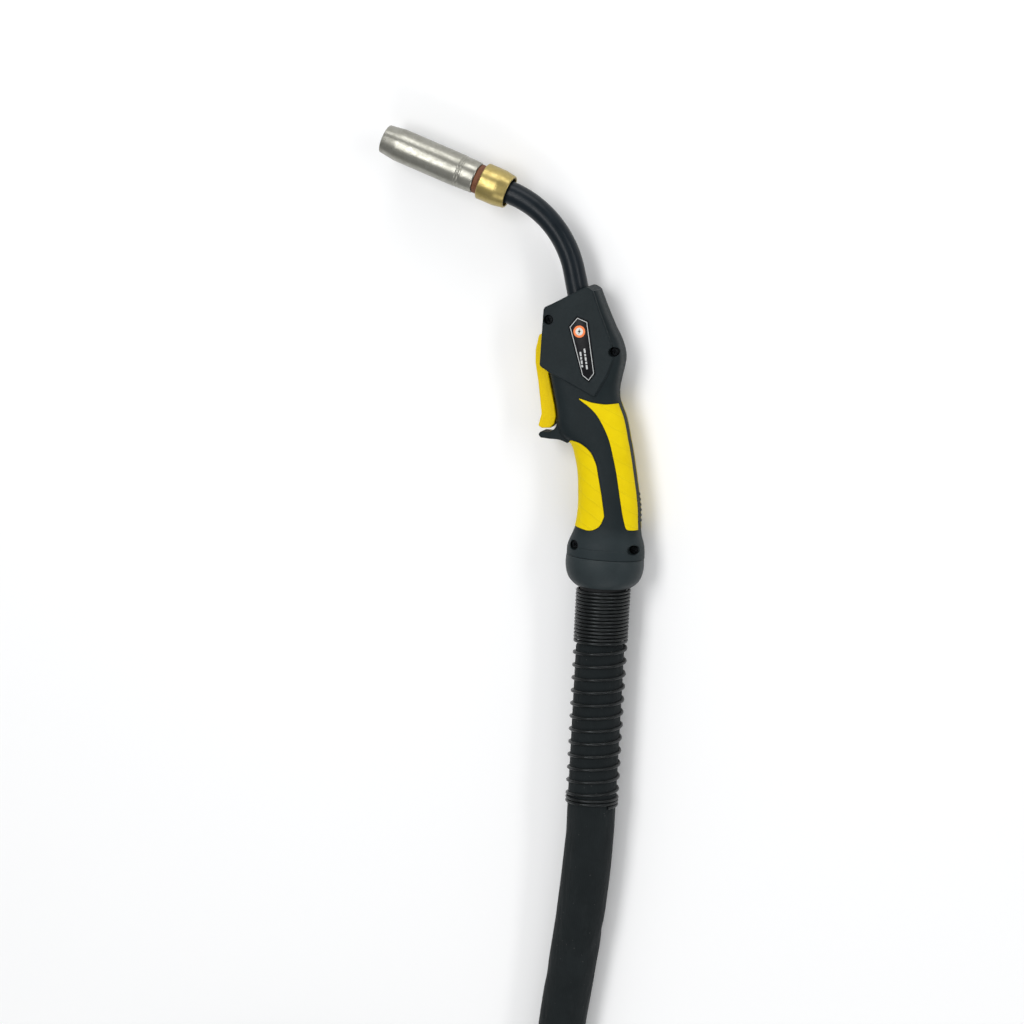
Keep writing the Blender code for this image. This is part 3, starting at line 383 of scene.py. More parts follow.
WIRE = black_wire("spring_wire")
SHEATH = woven_sheath("woven_sheath")
SCREW_SKIN = turned_metal("blackened_screw", (0.0022, 0.0026, 0.003), (0.009, 0.010, 0.011), 0.36, 0.0, 4.0, 0.3)
RUBBER = moulded("boot_rubber", (0.010, 0.011, 0.012), (0.018, 0.019, 0.020), 0.62, 0.05, (0.035, 0.036, 0.036), 0.0006, 0.03)
HOSE = moulded("gas_hose_rubber", (0.012, 0.018, 0.034), (0.020, 0.028, 0.050), 0.50, 0.03)
LEAD = moulded("lead_insulation", (0.20, 0.010, 0.010), (0.30, 0.020, 0.016), 0.45, 0.01)
BADGE_BLACK = simple_print("badge_black", (0.0035, 0.0038, 0.0050), (0.0070, 0.0073, 0.0088), 0.35, 0.12)
BADGE_LINE = simple_print("badge_line", (0.42, 0.43, 0.43), (0.55, 0.56, 0.55), 0.45)
BADGE_ORANGE = simple_print("badge_orange", (0.72, 0.145, 0.018), (0.84, 0.20, 0.030), 0.40)
BADGE_PALE = simple_print("badge_pale", (0.55, 0.53, 0.49), (0.70, 0.68, 0.64), 0.45)
STRAP = simple_print("strap_weave", (0.012, 0.012, 0.014), (0.030, 0.030, 0.032), 0.85)


# ================================================================ shape helpers, all in millimetres
def to_mesh(name, bm, turn=False):
    if turn:
        bmesh.ops.recalc_face_normals(bm, faces=bm.faces)
    data = bpy.data.meshes.new(name)
    bm.to_mesh(data)
    bm.free()
    return data


def worked(data, *modifiers, weld=1e-4):
    """data with modifiers, given as (kind, settings), applied."""
    ob = bpy.data.objects.new("work", data)
    scene.collection.objects.link(ob)
    helpers = []
    for kind, settings in modifiers:
        mod = ob.modifiers.new(kind, kind)
        for key, value in settings.items():
            if key == "object":
                helper = bpy.data.objects.new("operand", value)
                scene.collection.objects.link(helper)
                helpers.append(helper)
                value = helper
            setattr(mod, key, value)
    bpy.context.view_layer.update()
    made = bpy.data.meshes.new_from_object(ob.evaluated_get(bpy.context.evaluated_depsgraph_get()))
    for o in [ob, *helpers]:
        bpy.data.objects.remove(o, do_unlink=True)
    bm = bmesh.new()
    bm.from_mesh(made)
    bmesh.ops.remove_doubles(bm, verts=bm.verts, dist=weld)
    bm.to_mesh(made)
    bm.free()
    return made


def bevelled(data, width, segments=4, angle=30):
    return worked(data, ("BEVEL", dict(width=width, segments=segments, limit_method="ANGLE",
                                       angle_limit=math.radians(angle), use_clamp_overlap=True)))


def boolean(data, *steps):
    return worked(data, *[("BOOLEAN", dict(object=other, operation=op, solver="EXACT")) for op, other in steps])


def piece(name, data, skin, body="torch", nodes=(), sharp=32, weighted=False, world=False):
    """A visible piece. data is in torch millimetres unless world is true."""
    if not world:
        data.transform(TO_WORLD)
    data.name = name
    ob = bpy.data.objects.new(name, data)
    scene.collection.objects.link(ob)
    skins = skin if isinstance(skin, (list, tuple)) else [skin]
    if len(skins) == 1:
        data.materials.clear()
    for one in skins:
        if one.name not in data.materials:
            data.materials.append(one)
    data.shade_smooth()
    data.set_sharp_from_angle(angle=math.radians(sharp))
    if weighted:
        mod = ob.modifiers.new("weighted", "WEIGHTED_NORMAL")
        mod.keep_sharp = True
    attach(ob, body)
    if nodes:
        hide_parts(*nodes)
    return ob


def aim(direction):
    return Vector((0, 0, 1)).rotation_difference(Vector(direction).normalized())


def turned(name, outer, inner=None, at=(0, 0, 0), along=(0, 0, 1), steps=96):
    """A turned solid from (radius, height) points down the outside, and back up the bore."""
    points = list(outer) + list(inner) if inner else [(0, outer[0][1]), *outer, (0, outer[-1][1])]
    bm = bmesh.new()
    rings = []
    for r, h in points:
        if r < 1e-6:
            rings.append([bm.verts.new((0, 0, h))])
        else:
            rings.append([bm.verts.new((r * math.cos(2 * PI * k / steps), r * math.sin(2 * PI * k / steps), h))
                          for k in range(steps)])
    pairs = list(zip(rings, rings[1:]))
    if inner:
        pairs.append((rings[-1], rings[0]))
    for a, b in pairs:
        for k in range(steps):
            j = (k + 1) % steps
            if len(a) == 1 and len(b) == 1:
                continue
            if len(a) == 1:
                bm.faces.new((a[0], b[j], b[k]))
            elif len(b) == 1:
                bm.faces.new((a[k], a[j], b[0]))
            else:
                bm.faces.new((a[k], a[j], b[j], b[k]))
    bm.transform(Matrix.Translation(Vector(at)) @ aim(along).to_matrix().to_4x4())
    return to_mesh(name, bm, turn=True)


def rod(name, radius, start, end, segments=48, radius_end=None):
    start, end = Vector(start), Vector(end)
    bm = bmesh.new()
    bmesh.ops.create_cone(bm, cap_ends=True, segments=segments, radius1=radius,
                          radius2=radius if radius_end is None else radius_end, depth=(end - start).length)
    bm.transform(Matrix.Translation((start + end) / 2) @ aim(end - start).to_matrix().to_4x4())
    return to_mesh(name, bm)


def box(name, low, high):
    bm = bmesh.new()
    bmesh.ops.create_cube(bm, size=1)
    for v in bm.verts:
        v.co = Vector([low[i] if v.co[i] < 0 else high[i] for i in range(3)])
    return to_mesh(name, bm)


def prism(name, outline, low, high, slope=None):
    """A closed outline given a thickness; slope(y, z) moves a point of it in z."""
    bm = bmesh.new()
    n = len(outline)
    bottom = [bm.verts.new((x, y, low + (slope(y, low) if slope else 0))) for x, y in outline]
    top = [bm.verts.new((x, y, high + (slope(y, high) if slope else 0))) for x, y in outline]
    for k in range(n):
        bm.faces.new((bottom[k], bottom[(k + 1) % n], top[(k + 1) % n], top[k]))
    bm.faces.new(bottom)
    bm.faces.new(top)
    return to_mesh(name, bm, turn=True)


def loft(name, rings):
    bm = bmesh.new()
    rows = [[bm.verts.new(p) for p in ring] for ring in rings]
    count = len(rows[0])
    for a, b in zip(rows, rows[1:]):
        for k in range(count):
            bm.faces.new((a[k], a[(k + 1) % count], b[(k + 1) % count], b[k]))
    bm.faces.new(rows[0])
    bm.faces.new(rows[-1])
    return to_mesh(name, bm, turn=True)


def tube_mesh(name, points, radius, sides=16, rounded=True, closed=False):
    """A round rod along points, its rings carried without twist, its ends capped flat (the rounded argument is not
    used).
    """
    pts = [Vector(p) for p in points]
    radii = list(radius) if isinstance(radius, (list, tuple)) else [radius] * len(pts)
    tangents = [((pts[min(i + 1, len(pts) - 1)] - pts[max(i - 1, 0)])).normalized() for i in range(len(pts))]
    side = Vector((0, 0, 1)).cross(tangents[0])
    if side.length < 0.1:
        side = Vector((1, 0, 0)).cross(tangents[0])
    side.normalize()
    bm = bmesh.new()
    rings = []
    for i, (p, t) in enumerate(zip(pts, tangents)):
        if i:
            side = (tangents[i - 1].rotation_difference(t) @ side)
            side = (side - t * side.dot(t)).normalized()
        up = t.cross(side)
        rings.append([bm.verts.new(p + (side * math.cos(2 * PI * k / sides) + up * math.sin(2 * PI * k / sides)) * radii[i])
                      for k in range(sides)])
    for a, b in zip(rings, rings[1:]):
        for k in range(sides):
            bm.faces.new((a[k], a[(k + 1) % sides], b[(k + 1) % sides], b[k]))
    bm.faces.new(rings[0])
    bm.faces.new(rings[-1])
    return to_mesh(name, bm, turn=True)


def joined(name, *meshes):
    """Meshes put into one, each keeping its own material slot in order."""
    bm = bmesh.new()
    for index, data in enumerate(meshes):
        before = len(bm.faces)
        bm.from_mesh(data)
        bm.faces.ensure_lookup_table()
        for face in bm.faces[before:]:
            face.material_index = index
    return to_mesh(name, bm)


def fillet(corners, steps=8):
    out = []
    n = len(corners)
    for i, (x, y, r) in enumerate(corners):
        here = Vector((x, y))
        if r <= 0:
            out.append((x, y))
            continue
        before = Vector(corners[i - 1][:2]) - here
        after = Vector(corners[(i + 1) % n][:2]) - here
        half = before.angle(after) / 2
        reach = min(r / math.tan(half), before.length * 0.48, after.length * 0.48)
        a, b = here + before.normalized() * reach, here + after.normalized() * reach
        for k in range(steps + 1):
            t = k / steps
            p = a * (1 - t) ** 2 + here * 2 * t * (1 - t) + b * t ** 2
            out.append((p.x, p.y))
    return out


def grown(outline, by):
    n = len(outline)
    area = sum(outline[i - 1][0] * outline[i][1] - outline[i][0] * outline[i - 1][1] for i in range(n))
    side = 1 if area > 0 else -1
    out = []
    for i in range(n):
        p0, p1, p2 = (Vector(outline[j % n]) for j in (i - 1, i, i + 1))
        d1, d2 = (p1 - p0), (p2 - p1)
        d1 = d1.normalized() if d1.length > 1e-9 else d2.normalized()
        d2 = d2.normalized() if d2.length > 1e-9 else d1
        n1, n2 = Vector((d1.y, -d1.x)) * side, Vector((d2.y, -d2.x)) * side
        m = (n1 + n2).normalized()
        scale = by / max(0.5, m.dot(n1))
        out.append((p1.x + m.x * scale, p1.y + m.y * scale))
    return out


def smooth_path(keys, count):
    pts = [Vector(k) for k in keys]
    pts = [2 * pts[0] - pts[1], *pts, 2 * pts[-1] - pts[-2]]
    dense = []
    for i in range(1, len(pts) - 2):
        p0, p1, p2, p3 = pts[i - 1:i + 3]
        for k in range(24):
            t = k / 24
            dense.append(0.5 * ((2 * p1) + (p2 - p0) * t + (2 * p0 - 5 * p1 + 4 * p2 - p3) * t * t
                                + (3 * p1 - p0 - 3 * p2 + p3) * t ** 3))
    dense.append(pts[-2])
    return even(dense, count)


def even(dense, count):
    """count points spaced evenly along a dense polyline."""
    lengths = [0.0]
    for a, b in zip(dense, dense[1:]):
        lengths.append(lengths[-1] + (b - a).length)
    out, j = [], 0
    for k in range(count):
        want = lengths[-1] * k / (count - 1)
        while j < len(lengths) - 2 and lengths[j + 1] < want:
            j += 1
        span = lengths[j + 1] - lengths[j]
        out.append(dense[j].lerp(dense[j + 1], (want - lengths[j]) / span if span else 0))
    return out


def oval(y, x_front, x_back, half_z, n_front, n_back, count):
    mid, half = (x_front + x_back) / 2, (x_back - x_front) / 2
    ring = []
    for k in range(count):
        t = 2 * PI * (k + 0.5) / count
        c, s = math.cos(t), math.sin(t)
        n = n_back if c > 0 else n_front
        ring.append((mid + half * math.copysign(abs(c) ** (2 / n), c), y,
                     half_z * math.copysign(abs(s) ** (2 / n), s)))
    return ring


def finer(stations, step=2.2):
    """Stations filled in along y on a monotone cubic, so that the loft has no visible bands."""
    ys = [s[0] for s in stations]
    slopes = []
    width = len(stations[0])
    n = len(stations)
    for i in range(n):
        row = []
        for c in range(1, width):
            if i in (0, n - 1):
                j = 0 if i == 0 else n - 2
                row.append((stations[j + 1][c] - stations[j][c]) / (ys[j + 1] - ys[j]))
                continue
            a = (stations[i][c] - stations[i - 1][c]) / (ys[i] - ys[i - 1])
            b = (stations[i + 1][c] - stations[i][c]) / (ys[i + 1] - ys[i])
            h0, h1 = abs(ys[i] - ys[i - 1]), abs(ys[i + 1] - ys[i])
            m = (a * h1 + b * h0) / (h0 + h1)
            if a * b < 0:
                m *= 0.25
            row.append(m)
        slopes.append(row)
    out = []
    for i in range(n - 1):
        h = ys[i + 1] - ys[i]
        count = max(1, math.ceil(abs(h) / step))
        for k in range(count):
            t = k / count
            h00, h10 = 2 * t ** 3 - 3 * t ** 2 + 1, t ** 3 - 2 * t ** 2 + t
            h01, h11 = -2 * t ** 3 + 3 * t ** 2, t ** 3 - t ** 2
            out.append((ys[i] + h * t, *[h00 * stations[i][c] + h10 * h * slopes[i][c - 1]
                                         + h01 * stations[i + 1][c] + h11 * h * slopes[i + 1][c - 1]
                                         for c in range(1, width)]))
    out.append(stations[-1])
    return out


# ================================================================ the cable, made first
COIL_R_OUT, COIL_R_IN = 190.0, 155.0
COIL_X, COIL_Y = -210.0, -640.0
MID_R = (COIL_R_OUT + COIL_R_IN) / 2
SHEATH_R = 17.3
LAY = FLOOR + SHEATH_R + 0.35
VALLEY = 48.4 + FLOOR
CONNECTOR_Z = 61.5 - AXIS_HEIGHT


def blend01(t):
    t = min(1.0, max(0.0, t))
    return t * t * (3 - 2 * t)


def on_coil(deg, radius, z):
    a = math.radians(deg)
    return Vector((COIL_X + radius * math.cos(a), COIL_Y - radius * math.sin(a), z))


def route():
    """The cable's centreline from the cap to the connector, in torch millimetres."""
    pts = [Vector((0, -21.0, 0)), Vector((0, -60, 0)), Vector((0, -100, 0)), Vector((0, -150, 0)), Vector((0, -195, 0))]
    pts += [Vector((-20.0 * blend01((-p.y - 198.0) / 245.0), p.y, p.z)) for p in smooth_path(
        [(0, -195, 0), (0, -260, -2.2), (0, -330, LAY * 0.93), (0, -400, LAY), (0, -480, LAY), (0, COIL_Y, LAY)], 60)[1:]]
    for deg in range(4, 601, 4):
        if deg <= 300:
            r = COIL_R_OUT
        elif deg <= 350:
            r = COIL_R_OUT + (COIL_R_IN - COIL_R_OUT) * blend01((deg - 300) / 50)
        else:
            r = COIL_R_IN
        pts.append(on_coil(deg, r, LAY))
    for deg in range(604, 673, 4):          # up the side of the outer turn
        phi = math.radians(62 * blend01((deg - 600) / 74))
        pts.append(on_coil(deg, COIL_R_OUT - 35.0 * math.cos(phi), LAY + 35.0 * math.sin(phi)))
    top = [on_coil(675, MID_R, VALLEY + 0.2), on_coil(692, MID_R, VALLEY + 2.6), on_coil(712, MID_R, VALLEY + 2.6),
           on_coil(732, MID_R, VALLEY + 0.6), on_coil(752, MID_R, VALLEY + 2.2), on_coil(774, MID_R, VALLEY + 8.0),
           on_coil(794, MID_R, CONNECTOR_Z - 0.6), on_coil(810, MID_R, CONNECTOR_Z),
           Vector((COIL_X - 22, COIL_Y - MID_R, CONNECTOR_Z)), Vector((COIL_X - 46.0, COIL_Y - MID_R, CONNECTOR_Z))]
    # a Catmull-Rom run through the top points keeps the circle close enough for its 135 degrees
    pts += smooth_path(top, 90)
    return pts


line = even(route(), 740)
run = [0.0]
for a, b in zip(line, line[1:]):
    run.append(run[-1] + (b - a).length)
CABLE_LENGTH = run[-1] * 0.001

SIDES = 56
bm = bmesh.new()
uv_layer = bm.loops.layers.uv.new("run")
tangents = [(line[min(i + 1, len(line) - 1)] - line[max(i - 1, 0)]).normalized() for i in range(len(line))]
side = Vector((1, 0, 0))
rings = []
for i, (p, t) in enumerate(zip(line, tangents)):
    if i:
        side = tangents[i - 1].rotation_difference(t) @ side
    side = (side - t * side.dot(t)).normalized()
    up = t.cross(side)
    s = run[i]
    y = -21.0 - s                            # along the straight run this is the torch's y
    free = blend01((s - 166) / 12)           # inside the spring the sleeve is drawn tighter
    base = 15.9 + 2.35 * blend01((s - 41) / 6)
    base += (18.6 - base) * free + (SHEATH_R - 18.6) * blend01((s - 300) / 120)
    ring = []
    for k in range(SIDES):
        a = 2 * PI * k / SIDES
        # soft uneven bulges, and shallow folds that wind across the sleeve
        q = Vector((math.cos(a) * 0.9, math.sin(a) * 0.9, s * 0.011))
        soft = noise.noise(q) * 0.5 * free - 0.25 * free
        fold = 0.0
        for at_s, wrap, deep, wide in ((262.0, 0.3, 0.85, 7.0), (214.0, 2.2, 0.35, 9.0), (300.0, 3.6, 0.6, 8.0)):
            d = s - at_s - 26.0 * math.sin(a + wrap)
            fold -= deep * math.exp(-(d / wide) ** 2) * (0.55 + 0.45 * math.cos(a - wrap))
        far = blend01((s - 520) / 60)
        w = 2 * PI * s / 171.0
        fold -= far * 0.35 * max(0.0, math.sin(w + a * 1.0 + 1.5 * noise.noise(Vector((s * 0.004, 7.3, 0))))) ** 6
        at = p + (side * math.cos(a) + up * math.sin(a)) * (base + soft + fold)
        at.z = max(at.z, FLOOR + 0.12)       # pressed a hair flat where it lies on the bench
        ring.append(bm.verts.new(at))
    rings.append(ring)
for i, (ra, rb) in enumerate(zip(rings, rings[1:])):
    for k in range(SIDES):
        j = (k + 1) % SIDES
        face = bm.faces.new((ra[k], rb[k], rb[j], ra[j]))
        for loop, (u, v) in zip(face.loops, ((run[i], k), (run[i + 1], k), (run[i + 1], k + 1), (run[i], k + 1))):
            loop[uv_layer].uv = (u * 0.001, v / SIDES)
for ring in (rings[0], rings[-1]):
    bm.faces.new(ring)
bmesh.ops.recalc_face_normals(bm, faces=bm.faces)
cable_mesh = bpy.data.meshes.new("cable")
bm.to_mesh(cable_mesh)
bm.free()
cable = piece("cable", cable_mesh, SHEATH, nodes=("cable_sheath", "cable_coil", "cable_tail"), sharp=80)

# ================================================================ front end
NOZZLE_TIP = Vector((-187.2, 301.8, 0.0))
NOZZLE_ANGLE = math.radians(-18.68)
NECK_BEND_RADIUS = 78.0
NECK_BEND = math.radians(56.85)
DIR_IN = Vector((math.cos(NOZZLE_ANGLE), math.sin(NOZZLE_ANGLE), 0))
END_ANGLE = NOZZLE_ANGLE - NECK_BEND
DIR_OUT = Vector((math.cos(END_ANGLE), math.sin(END_ANGLE), 0))
SIDE_OUT = Vector((-DIR_OUT.y, DIR_OUT.x, 0))
BEND_START = NOZZLE_TIP + DIR_IN * 106.7
BEND_CENTRE = BEND_START + Vector((DIR_IN.y, -DIR_IN.x, 0)) * NECK_BEND_RADIUS
BEND_END = BEND_CENTRE - Vector((DIR_OUT.y, -DIR_OUT.x, 0)) * NECK_BEND_RADIUS


def along_nozzle(s):
    return NOZZLE_TIP + DIR_IN * s


def along_neck(t):
    return BEND_END + DIR_OUT * t


def neck_path(s_start, t_end, step=2.0):
    dense = [along_nozzle(s_start), BEND_START]
    for k in range(1, 61):
        a = NOZZLE_ANGLE - NECK_BEND * k / 60
        dense.append(BEND_CENTRE + Vector((-math.sin(a), math.cos(a), 0)) * NECK_BEND_RADIUS)
    dense.append(along_neck(t_end))
    total = sum((b - a).length for a, b in zip(dense, dense[1:]))
    return even(dense, max(2, round(total / step)))


def front(name, outer, inner=None, steps=96):
    flip = [(r, -s) for r, s in outer]
    back = [(r, -s) for r, s in inner] if inner else None
    return turned(name, flip, back, NOZZLE_TIP, -DIR_IN, steps)


def eased(points, r=0.25, steps=3):
    """A profile whose inner corners are rounded by r."""
    out = [points[0]]
    for a, b, c in zip(points, points[1:], points[2:]):
        a, b, c = Vector(a), Vector(b), Vector(c)
        d0, d1 = (a - b), (c - b)
        e = min(r, d0.length * 0.45, d1.length * 0.45)
        p, q = b + d0.normalized() * e, b + d1.normalized() * e
        for k in range(steps + 1):
            t = k / steps
            v = p * (1 - t) ** 2 + b * 2 * t * (1 - t) + q * t ** 2
            out.append((v.x, v.y))
    out.append(points[-1])
    return out


piece("nozzle_visual", front("nozzle_visual",
      eased([(9.3, 0.0), (10.55, 0.0), (10.85, 0.35), (12.38, 11.6), (12.5, 13.0), (12.5, 62.6), (12.12, 63.0), (12.12, 63.6), (12.42, 64.0),
             (12.42, 64.6), (12.08, 65.2), (12.08, 66.0), (12.28, 66.5), (11.85, 76.4), (11.55, 77.0), (10.9, 77.0)], 0.22),
      eased([(10.4, 76.8), (10.4, 58.0), (9.6, 57.0), (9.6, 16.0), (8.0, 8.0), (8.0, 0.5), (8.5, 0.05)], 0.3), 128),
      NICKEL, "nozzle_cup", ("nozzle",))
piece("contact_tip_visual", front("contact_tip_visual",
      eased([(1.1, 6.0), (2.3, 6.0), (2.6, 6.4), (4.8, 11.0), (4.8, 33.2), (3.9, 33.4), (3.9, 41.6), (1.5, 41.6)], 0.2),
      eased([(0.7, 41.4), (0.7, 6.3)], 0.1), 48), COPPER, nodes=("contact_tip",))
piece("insulator_visual", front("insulator_visual",
      eased([(8.2, 62.0), (9.9, 62.0), (10.0, 62.2), (10.0, 77.35), (11.0, 77.35), (11.2, 77.6), (11.2, 81.3), (11.0, 81.55),
             (9.0, 81.55), (9.0, 89.8), (8.0, 89.8)], 0.15),
      [(7.6, 89.6), (7.6, 62.2)], 96), BROWN, nodes=("nozzle_insulator",))
nut = front("union_nut_visual",
            eased([(9.9, 81.9), (13.45, 81.9), (14.0, 82.5), (14.0, 95.4), (13.88, 96.1), (13.88, 96.5), (13.80, 96.9), (12.65, 103.8),
                   (12.3, 104.2), (11.7, 104.2)], 0.25),
            [(11.3, 104.0), (11.3, 90.1), (9.4, 90.1), (9.4, 82.1)], 128)
piece("union_nut_visual", nut, BRASS, "nut", ("union_nut",))
piece("tip_adaptor_visual", front("tip_adaptor_visual", [(6.0, 33.6), (6.2, 33.9), (6.2, 61.4)],
                                  [(2.7, 61.4), (2.7, 42.2), (4.3, 42.2), (4.3, 33.6)], 48), BRASS,
      nodes=("tip_adaptor",))
diffuser = front("gas_diffuser_visual", [(8.8, 44.0), (9.1, 44.3), (9.1, 55.7), (8.8, 56.0)], [(6.6, 56.0), (6.6, 44.0)], 64)
holes = []
for k in range(3):
    a = PI * (k + 0.5) / 3
    across = Vector((0, 0, 1)) * math.cos(a) + Vector((-DIR_IN.y, DIR_IN.x, 0)) * math.sin(a)
    c = along_nozzle(50.0)
    holes.append(("DIFFERENCE", rod("hole", 1.1, c - across * 14, c + across * 14, 24)))
piece("gas_diffuser_visual", boolean(diffuser, *holes), BRASS, nodes=("gas_diffuser",))

# neck cover, with the slight swell of a shrunk sleeve at both ends
path = neck_path(97.2, 38.0, 1.6)
n_pts = len(path)
radii = [9.0 - 0.85 * math.sin(PI * k / (n_pts - 1)) ** 0.6 for k in range(n_pts)]
outer = tube_mesh("neck_cover_visual", path, radii, 64)
inner_path = [path[0] - DIR_IN * 1.0, *path, path[-1] + DIR_OUT * 1.0]
inner = tube_mesh("neck_bore", inner_path, [r - 2.0 for r in [radii[0], *radii, radii[-1]]], 48)
piece("neck_cover_visual", boolean(outer, ("DIFFERENCE", inner)), NECK, nodes=("neck_sleeve",), sharp=40)

# ================================================================ grip
WALL, GAP, PANEL_Z, PANEL_Y, PANEL_SLOPE, SLOT_HALF = 2.5, 0.3, 17.6, 123.0, 0.05, 7.2
STATIONS = [
    (201.2, -27.0, -15.2, 11.6, 4.0, 4.0), (195.0, -37.0, -12.4, 12.6, 4.0, 4.4),
    (187.0, -42.0, -8.8, 13.3, 4.0, 4.6), (174.0, -49.0, -2.3, 14.1, 4.0, 4.8),
    (165.0, -50.5, 2.7, 14.7, 4.0, 4.8), (157.0, -50.5, 5.6, 15.2, 4.0, 4.8),
    (151.5, -50.5, 6.4, 15.5, 4.0, 4.8), (145.0, -50.0, 5.8, 15.8, 4.0, 4.4),
    (137.0, -48.4, 4.5, 16.0, 4.0, 3.6), (129.5, -46.4, 3.7, 16.3, 4.0, 2.9),
    (122.0, -44.4, 4.3, 16.6, 4.0, 2.5), (107.0, -41.0, 10.3, 16.8, 4.0, 2.4),
    (98.0, -40.0, 12.8, 16.9, 4.0, 2.4), (91.0, -37.6, 14.4, 17.0, 3.1, 2.4),
    (86.0, -30.9, 15.7, 17.0, 2.55, 2.4), (81.5, -28.2, 16.7, 17.0, 2.45, 2.4),
    (77.0, -26.8, 17.7, 17.0, 2.45, 2.4), (70.5, -25.0, 19.0, 17.0, 2.4, 2.4),
    (62.0, -23.5, 20.7, 17.2, 2.4, 2.4), (50.0, -22.5, 23.0, 17.4, 2.4, 2.4),
    (40.0, -22.1, 24.5, 17.5, 2.4, 2.4), (30.0, -22.6, 25.2, 17.7, 2.4, 2.4),
    (23.5, -23.6, 25.8, 18.2, 2.4, 2.4), (18.5, -25.3, 26.7, 20.0, 2.3, 2.3),
    (13.5, -27.4, 28.4, 22.3, 2.2, 2.2), (8.7, -28.9, 29.4, 23.2, 2.15, 2.15),
    (2.0, -29.2, 29.8, 23.4, 2.1, 2.1),
]
FINE = finer(STATIONS)


def section_at(y):
    for low, high in zip(FINE[1:], FINE):
        if low[0] <= y <= high[0]:
            t = (y - low[0]) / (high[0] - low[0])
            return [a + (b - a) * t for a, b in zip(low, high)]


for y, deep in ((9.4, 0.0), (9.15, 0.22), (8.85, 0.22), (8.6, 0.0)):      # a fine groove round the collar
    row = section_at(y)
    FINE.append((y, row[1] + deep, row[2] - deep, row[3] - deep, row[4], row[5]))
FINE = [row for row in FINE if row[0] in (9.4, 9.15, 8.85, 8.6) or not 8.6 < row[0] < 9.4]
FINE.sort(key=lambda row: -row[0])


def panel_slope(y, z):
    return -math.copysign(PANEL_SLOPE * (y - PANEL_Y), z)


def grip_rings(inset=0.0, count=72, low=-100.0, high=300.0):
    return [oval(y, xf + inset, xb - inset, hz - inset, nf, nb, count)
            for y, xf, xb, hz, nf, nb in FINE if low <= y <= high]


HEAD = [(-54.1, 186.0, 3.5), (-54.4, 142.6, 3.5), (-45.6, 137.6, 3.0), (-38.5, 134.8, 6.0),
        (-10.8, 122.4, 1.5), (-1.9, 140.4, 6.0), (1.8, 152.0, 6.0), (-0.6, 163.6, 6.0),
        (-11.2, 186.6, 3.0), (-17.4, 201.6, 4.0), (-22.6, 204.0, 4.0), (-48.4, 189.0, 3.5)]
HORN = [(-30.0, 103.0, 0), (-39.2, 103.0, 0), (-41.4, 95.4, 7), (-47.0, 92.1, 6), (-53.1, 92.4, 1.2),
        (-54.8, 90.0, 1.5), (-53.0, 87.7, 1.5), (-46.0, 87.7, 10), (-38.0, 87.9, 14), (-31.5, 85.8, 6),
        (-26.0, 81.0, 0)]
SCREWS = {"screw_head_front": (-49.7, 177.3, 10.4), "screw_head_back": (1.3, 157.1, 8.2),
          "screw_collar_front": (-20.3, 10.4, 9.8), "screw_collar_back": (24.3, 10.0, 7.5)}
COLUMN_Z = {"screw_head_front": 13.4, "screw_head_back": 10.6, "screw_collar_front": 13.6, "screw_collar_back": 11.4}
COLUMN_X = {"screw_head_front": (-53.6, 0), "screw_head_back": (-9, 2.9), "screw_collar_front": (-23.4, 0),
            "screw_collar_back": (0, 25.3)}
TRIGGER_PIVOT = (-51.5, 161.0)
px, py = TRIGGER_PIVOT

grip_body = loft("grip_outer", grip_rings())
head = bevelled(prism("head_outer", fillet(HEAD, 7), -PANEL_Z, PANEL_Z, panel_slope), 1.5, 5)
horn = prism("horn", fillet(HORN, 7), -7.5, 7.5)
for v in horn.vertices:                         # it spreads to meet the grip's cheeks
    v.co.z *= 1 + 0.042 * min(9.0, max(0.0, v.co.x + 53.0))
horn = bevelled(horn, 2.0, 5, 50)
spigot = loft("spigot", [oval(y, -26.3, 26.3, 20.8, 2.1, 2.1, 72) for y in (6.0, -7.0)])
steps = [("UNION", head), ("UNION", horn), ("UNION", spigot)]
inner_rings = [oval(y, xf + WALL, xb - WALL, hz - WALL, nf, nb, 40)
               for y, xf, xb, hz, nf, nb in STATIONS if 12.0 < y < 180.0]
inner_rings += [oval(7.0, -25.2, 25.6, 19.6, 2.15, 2.15, 40), oval(2.0, -23.8, 23.8, 18.3, 2.1, 2.1, 40),
                oval(-8.0, -23.8, 23.8, 18.3, 2.1, 2.1, 40)]
steps += [("DIFFERENCE", loft("grip_hollow", inner_rings)),
          ("DIFFERENCE", prism("head_hollow", grown([c[:2] for c in HEAD], -WALL), -PANEL_Z + WALL, PANEL_Z - WALL,
                               panel_slope))]
for name, (x, y, seat) in SCREWS.items():
    z = COLUMN_Z[name]
    low, high = COLUMN_X[name]
    ring = [(min(max(x + 4.5 * math.cos(PI * k / 20), low), high), y + 4.5 * math.sin(PI * k / 20)) for k in range(40)]
    steps.append(("UNION", prism(name, ring, -z, z)))
for sign in (-1, 1):
    steps.append(("UNION", rod("boss", 3.0, (px, py, sign * (SLOT_HALF + 0.2)), (px, py, sign * 14.6), 32)))
steps.append(("DIFFERENCE", rod("neck_opening", 9.4, along_neck(-20), along_neck(34), 64)))
SLOT = [(-70.0, 92.9), (-32.2, 93.4), (-32.2, 136.0), (-46.6, 136.0), (-46.6, 169.4), (-70.0, 169.4)]
steps.append(("DIFFERENCE", prism("trigger_slot", SLOT, -SLOT_HALF, SLOT_HALF)))
steps.append(("DIFFERENCE", rod("pin_bore", 1.8, (px, py, -12.2), (px, py, 12.2), 24)))
grip_body = boolean(grip_body, *steps)

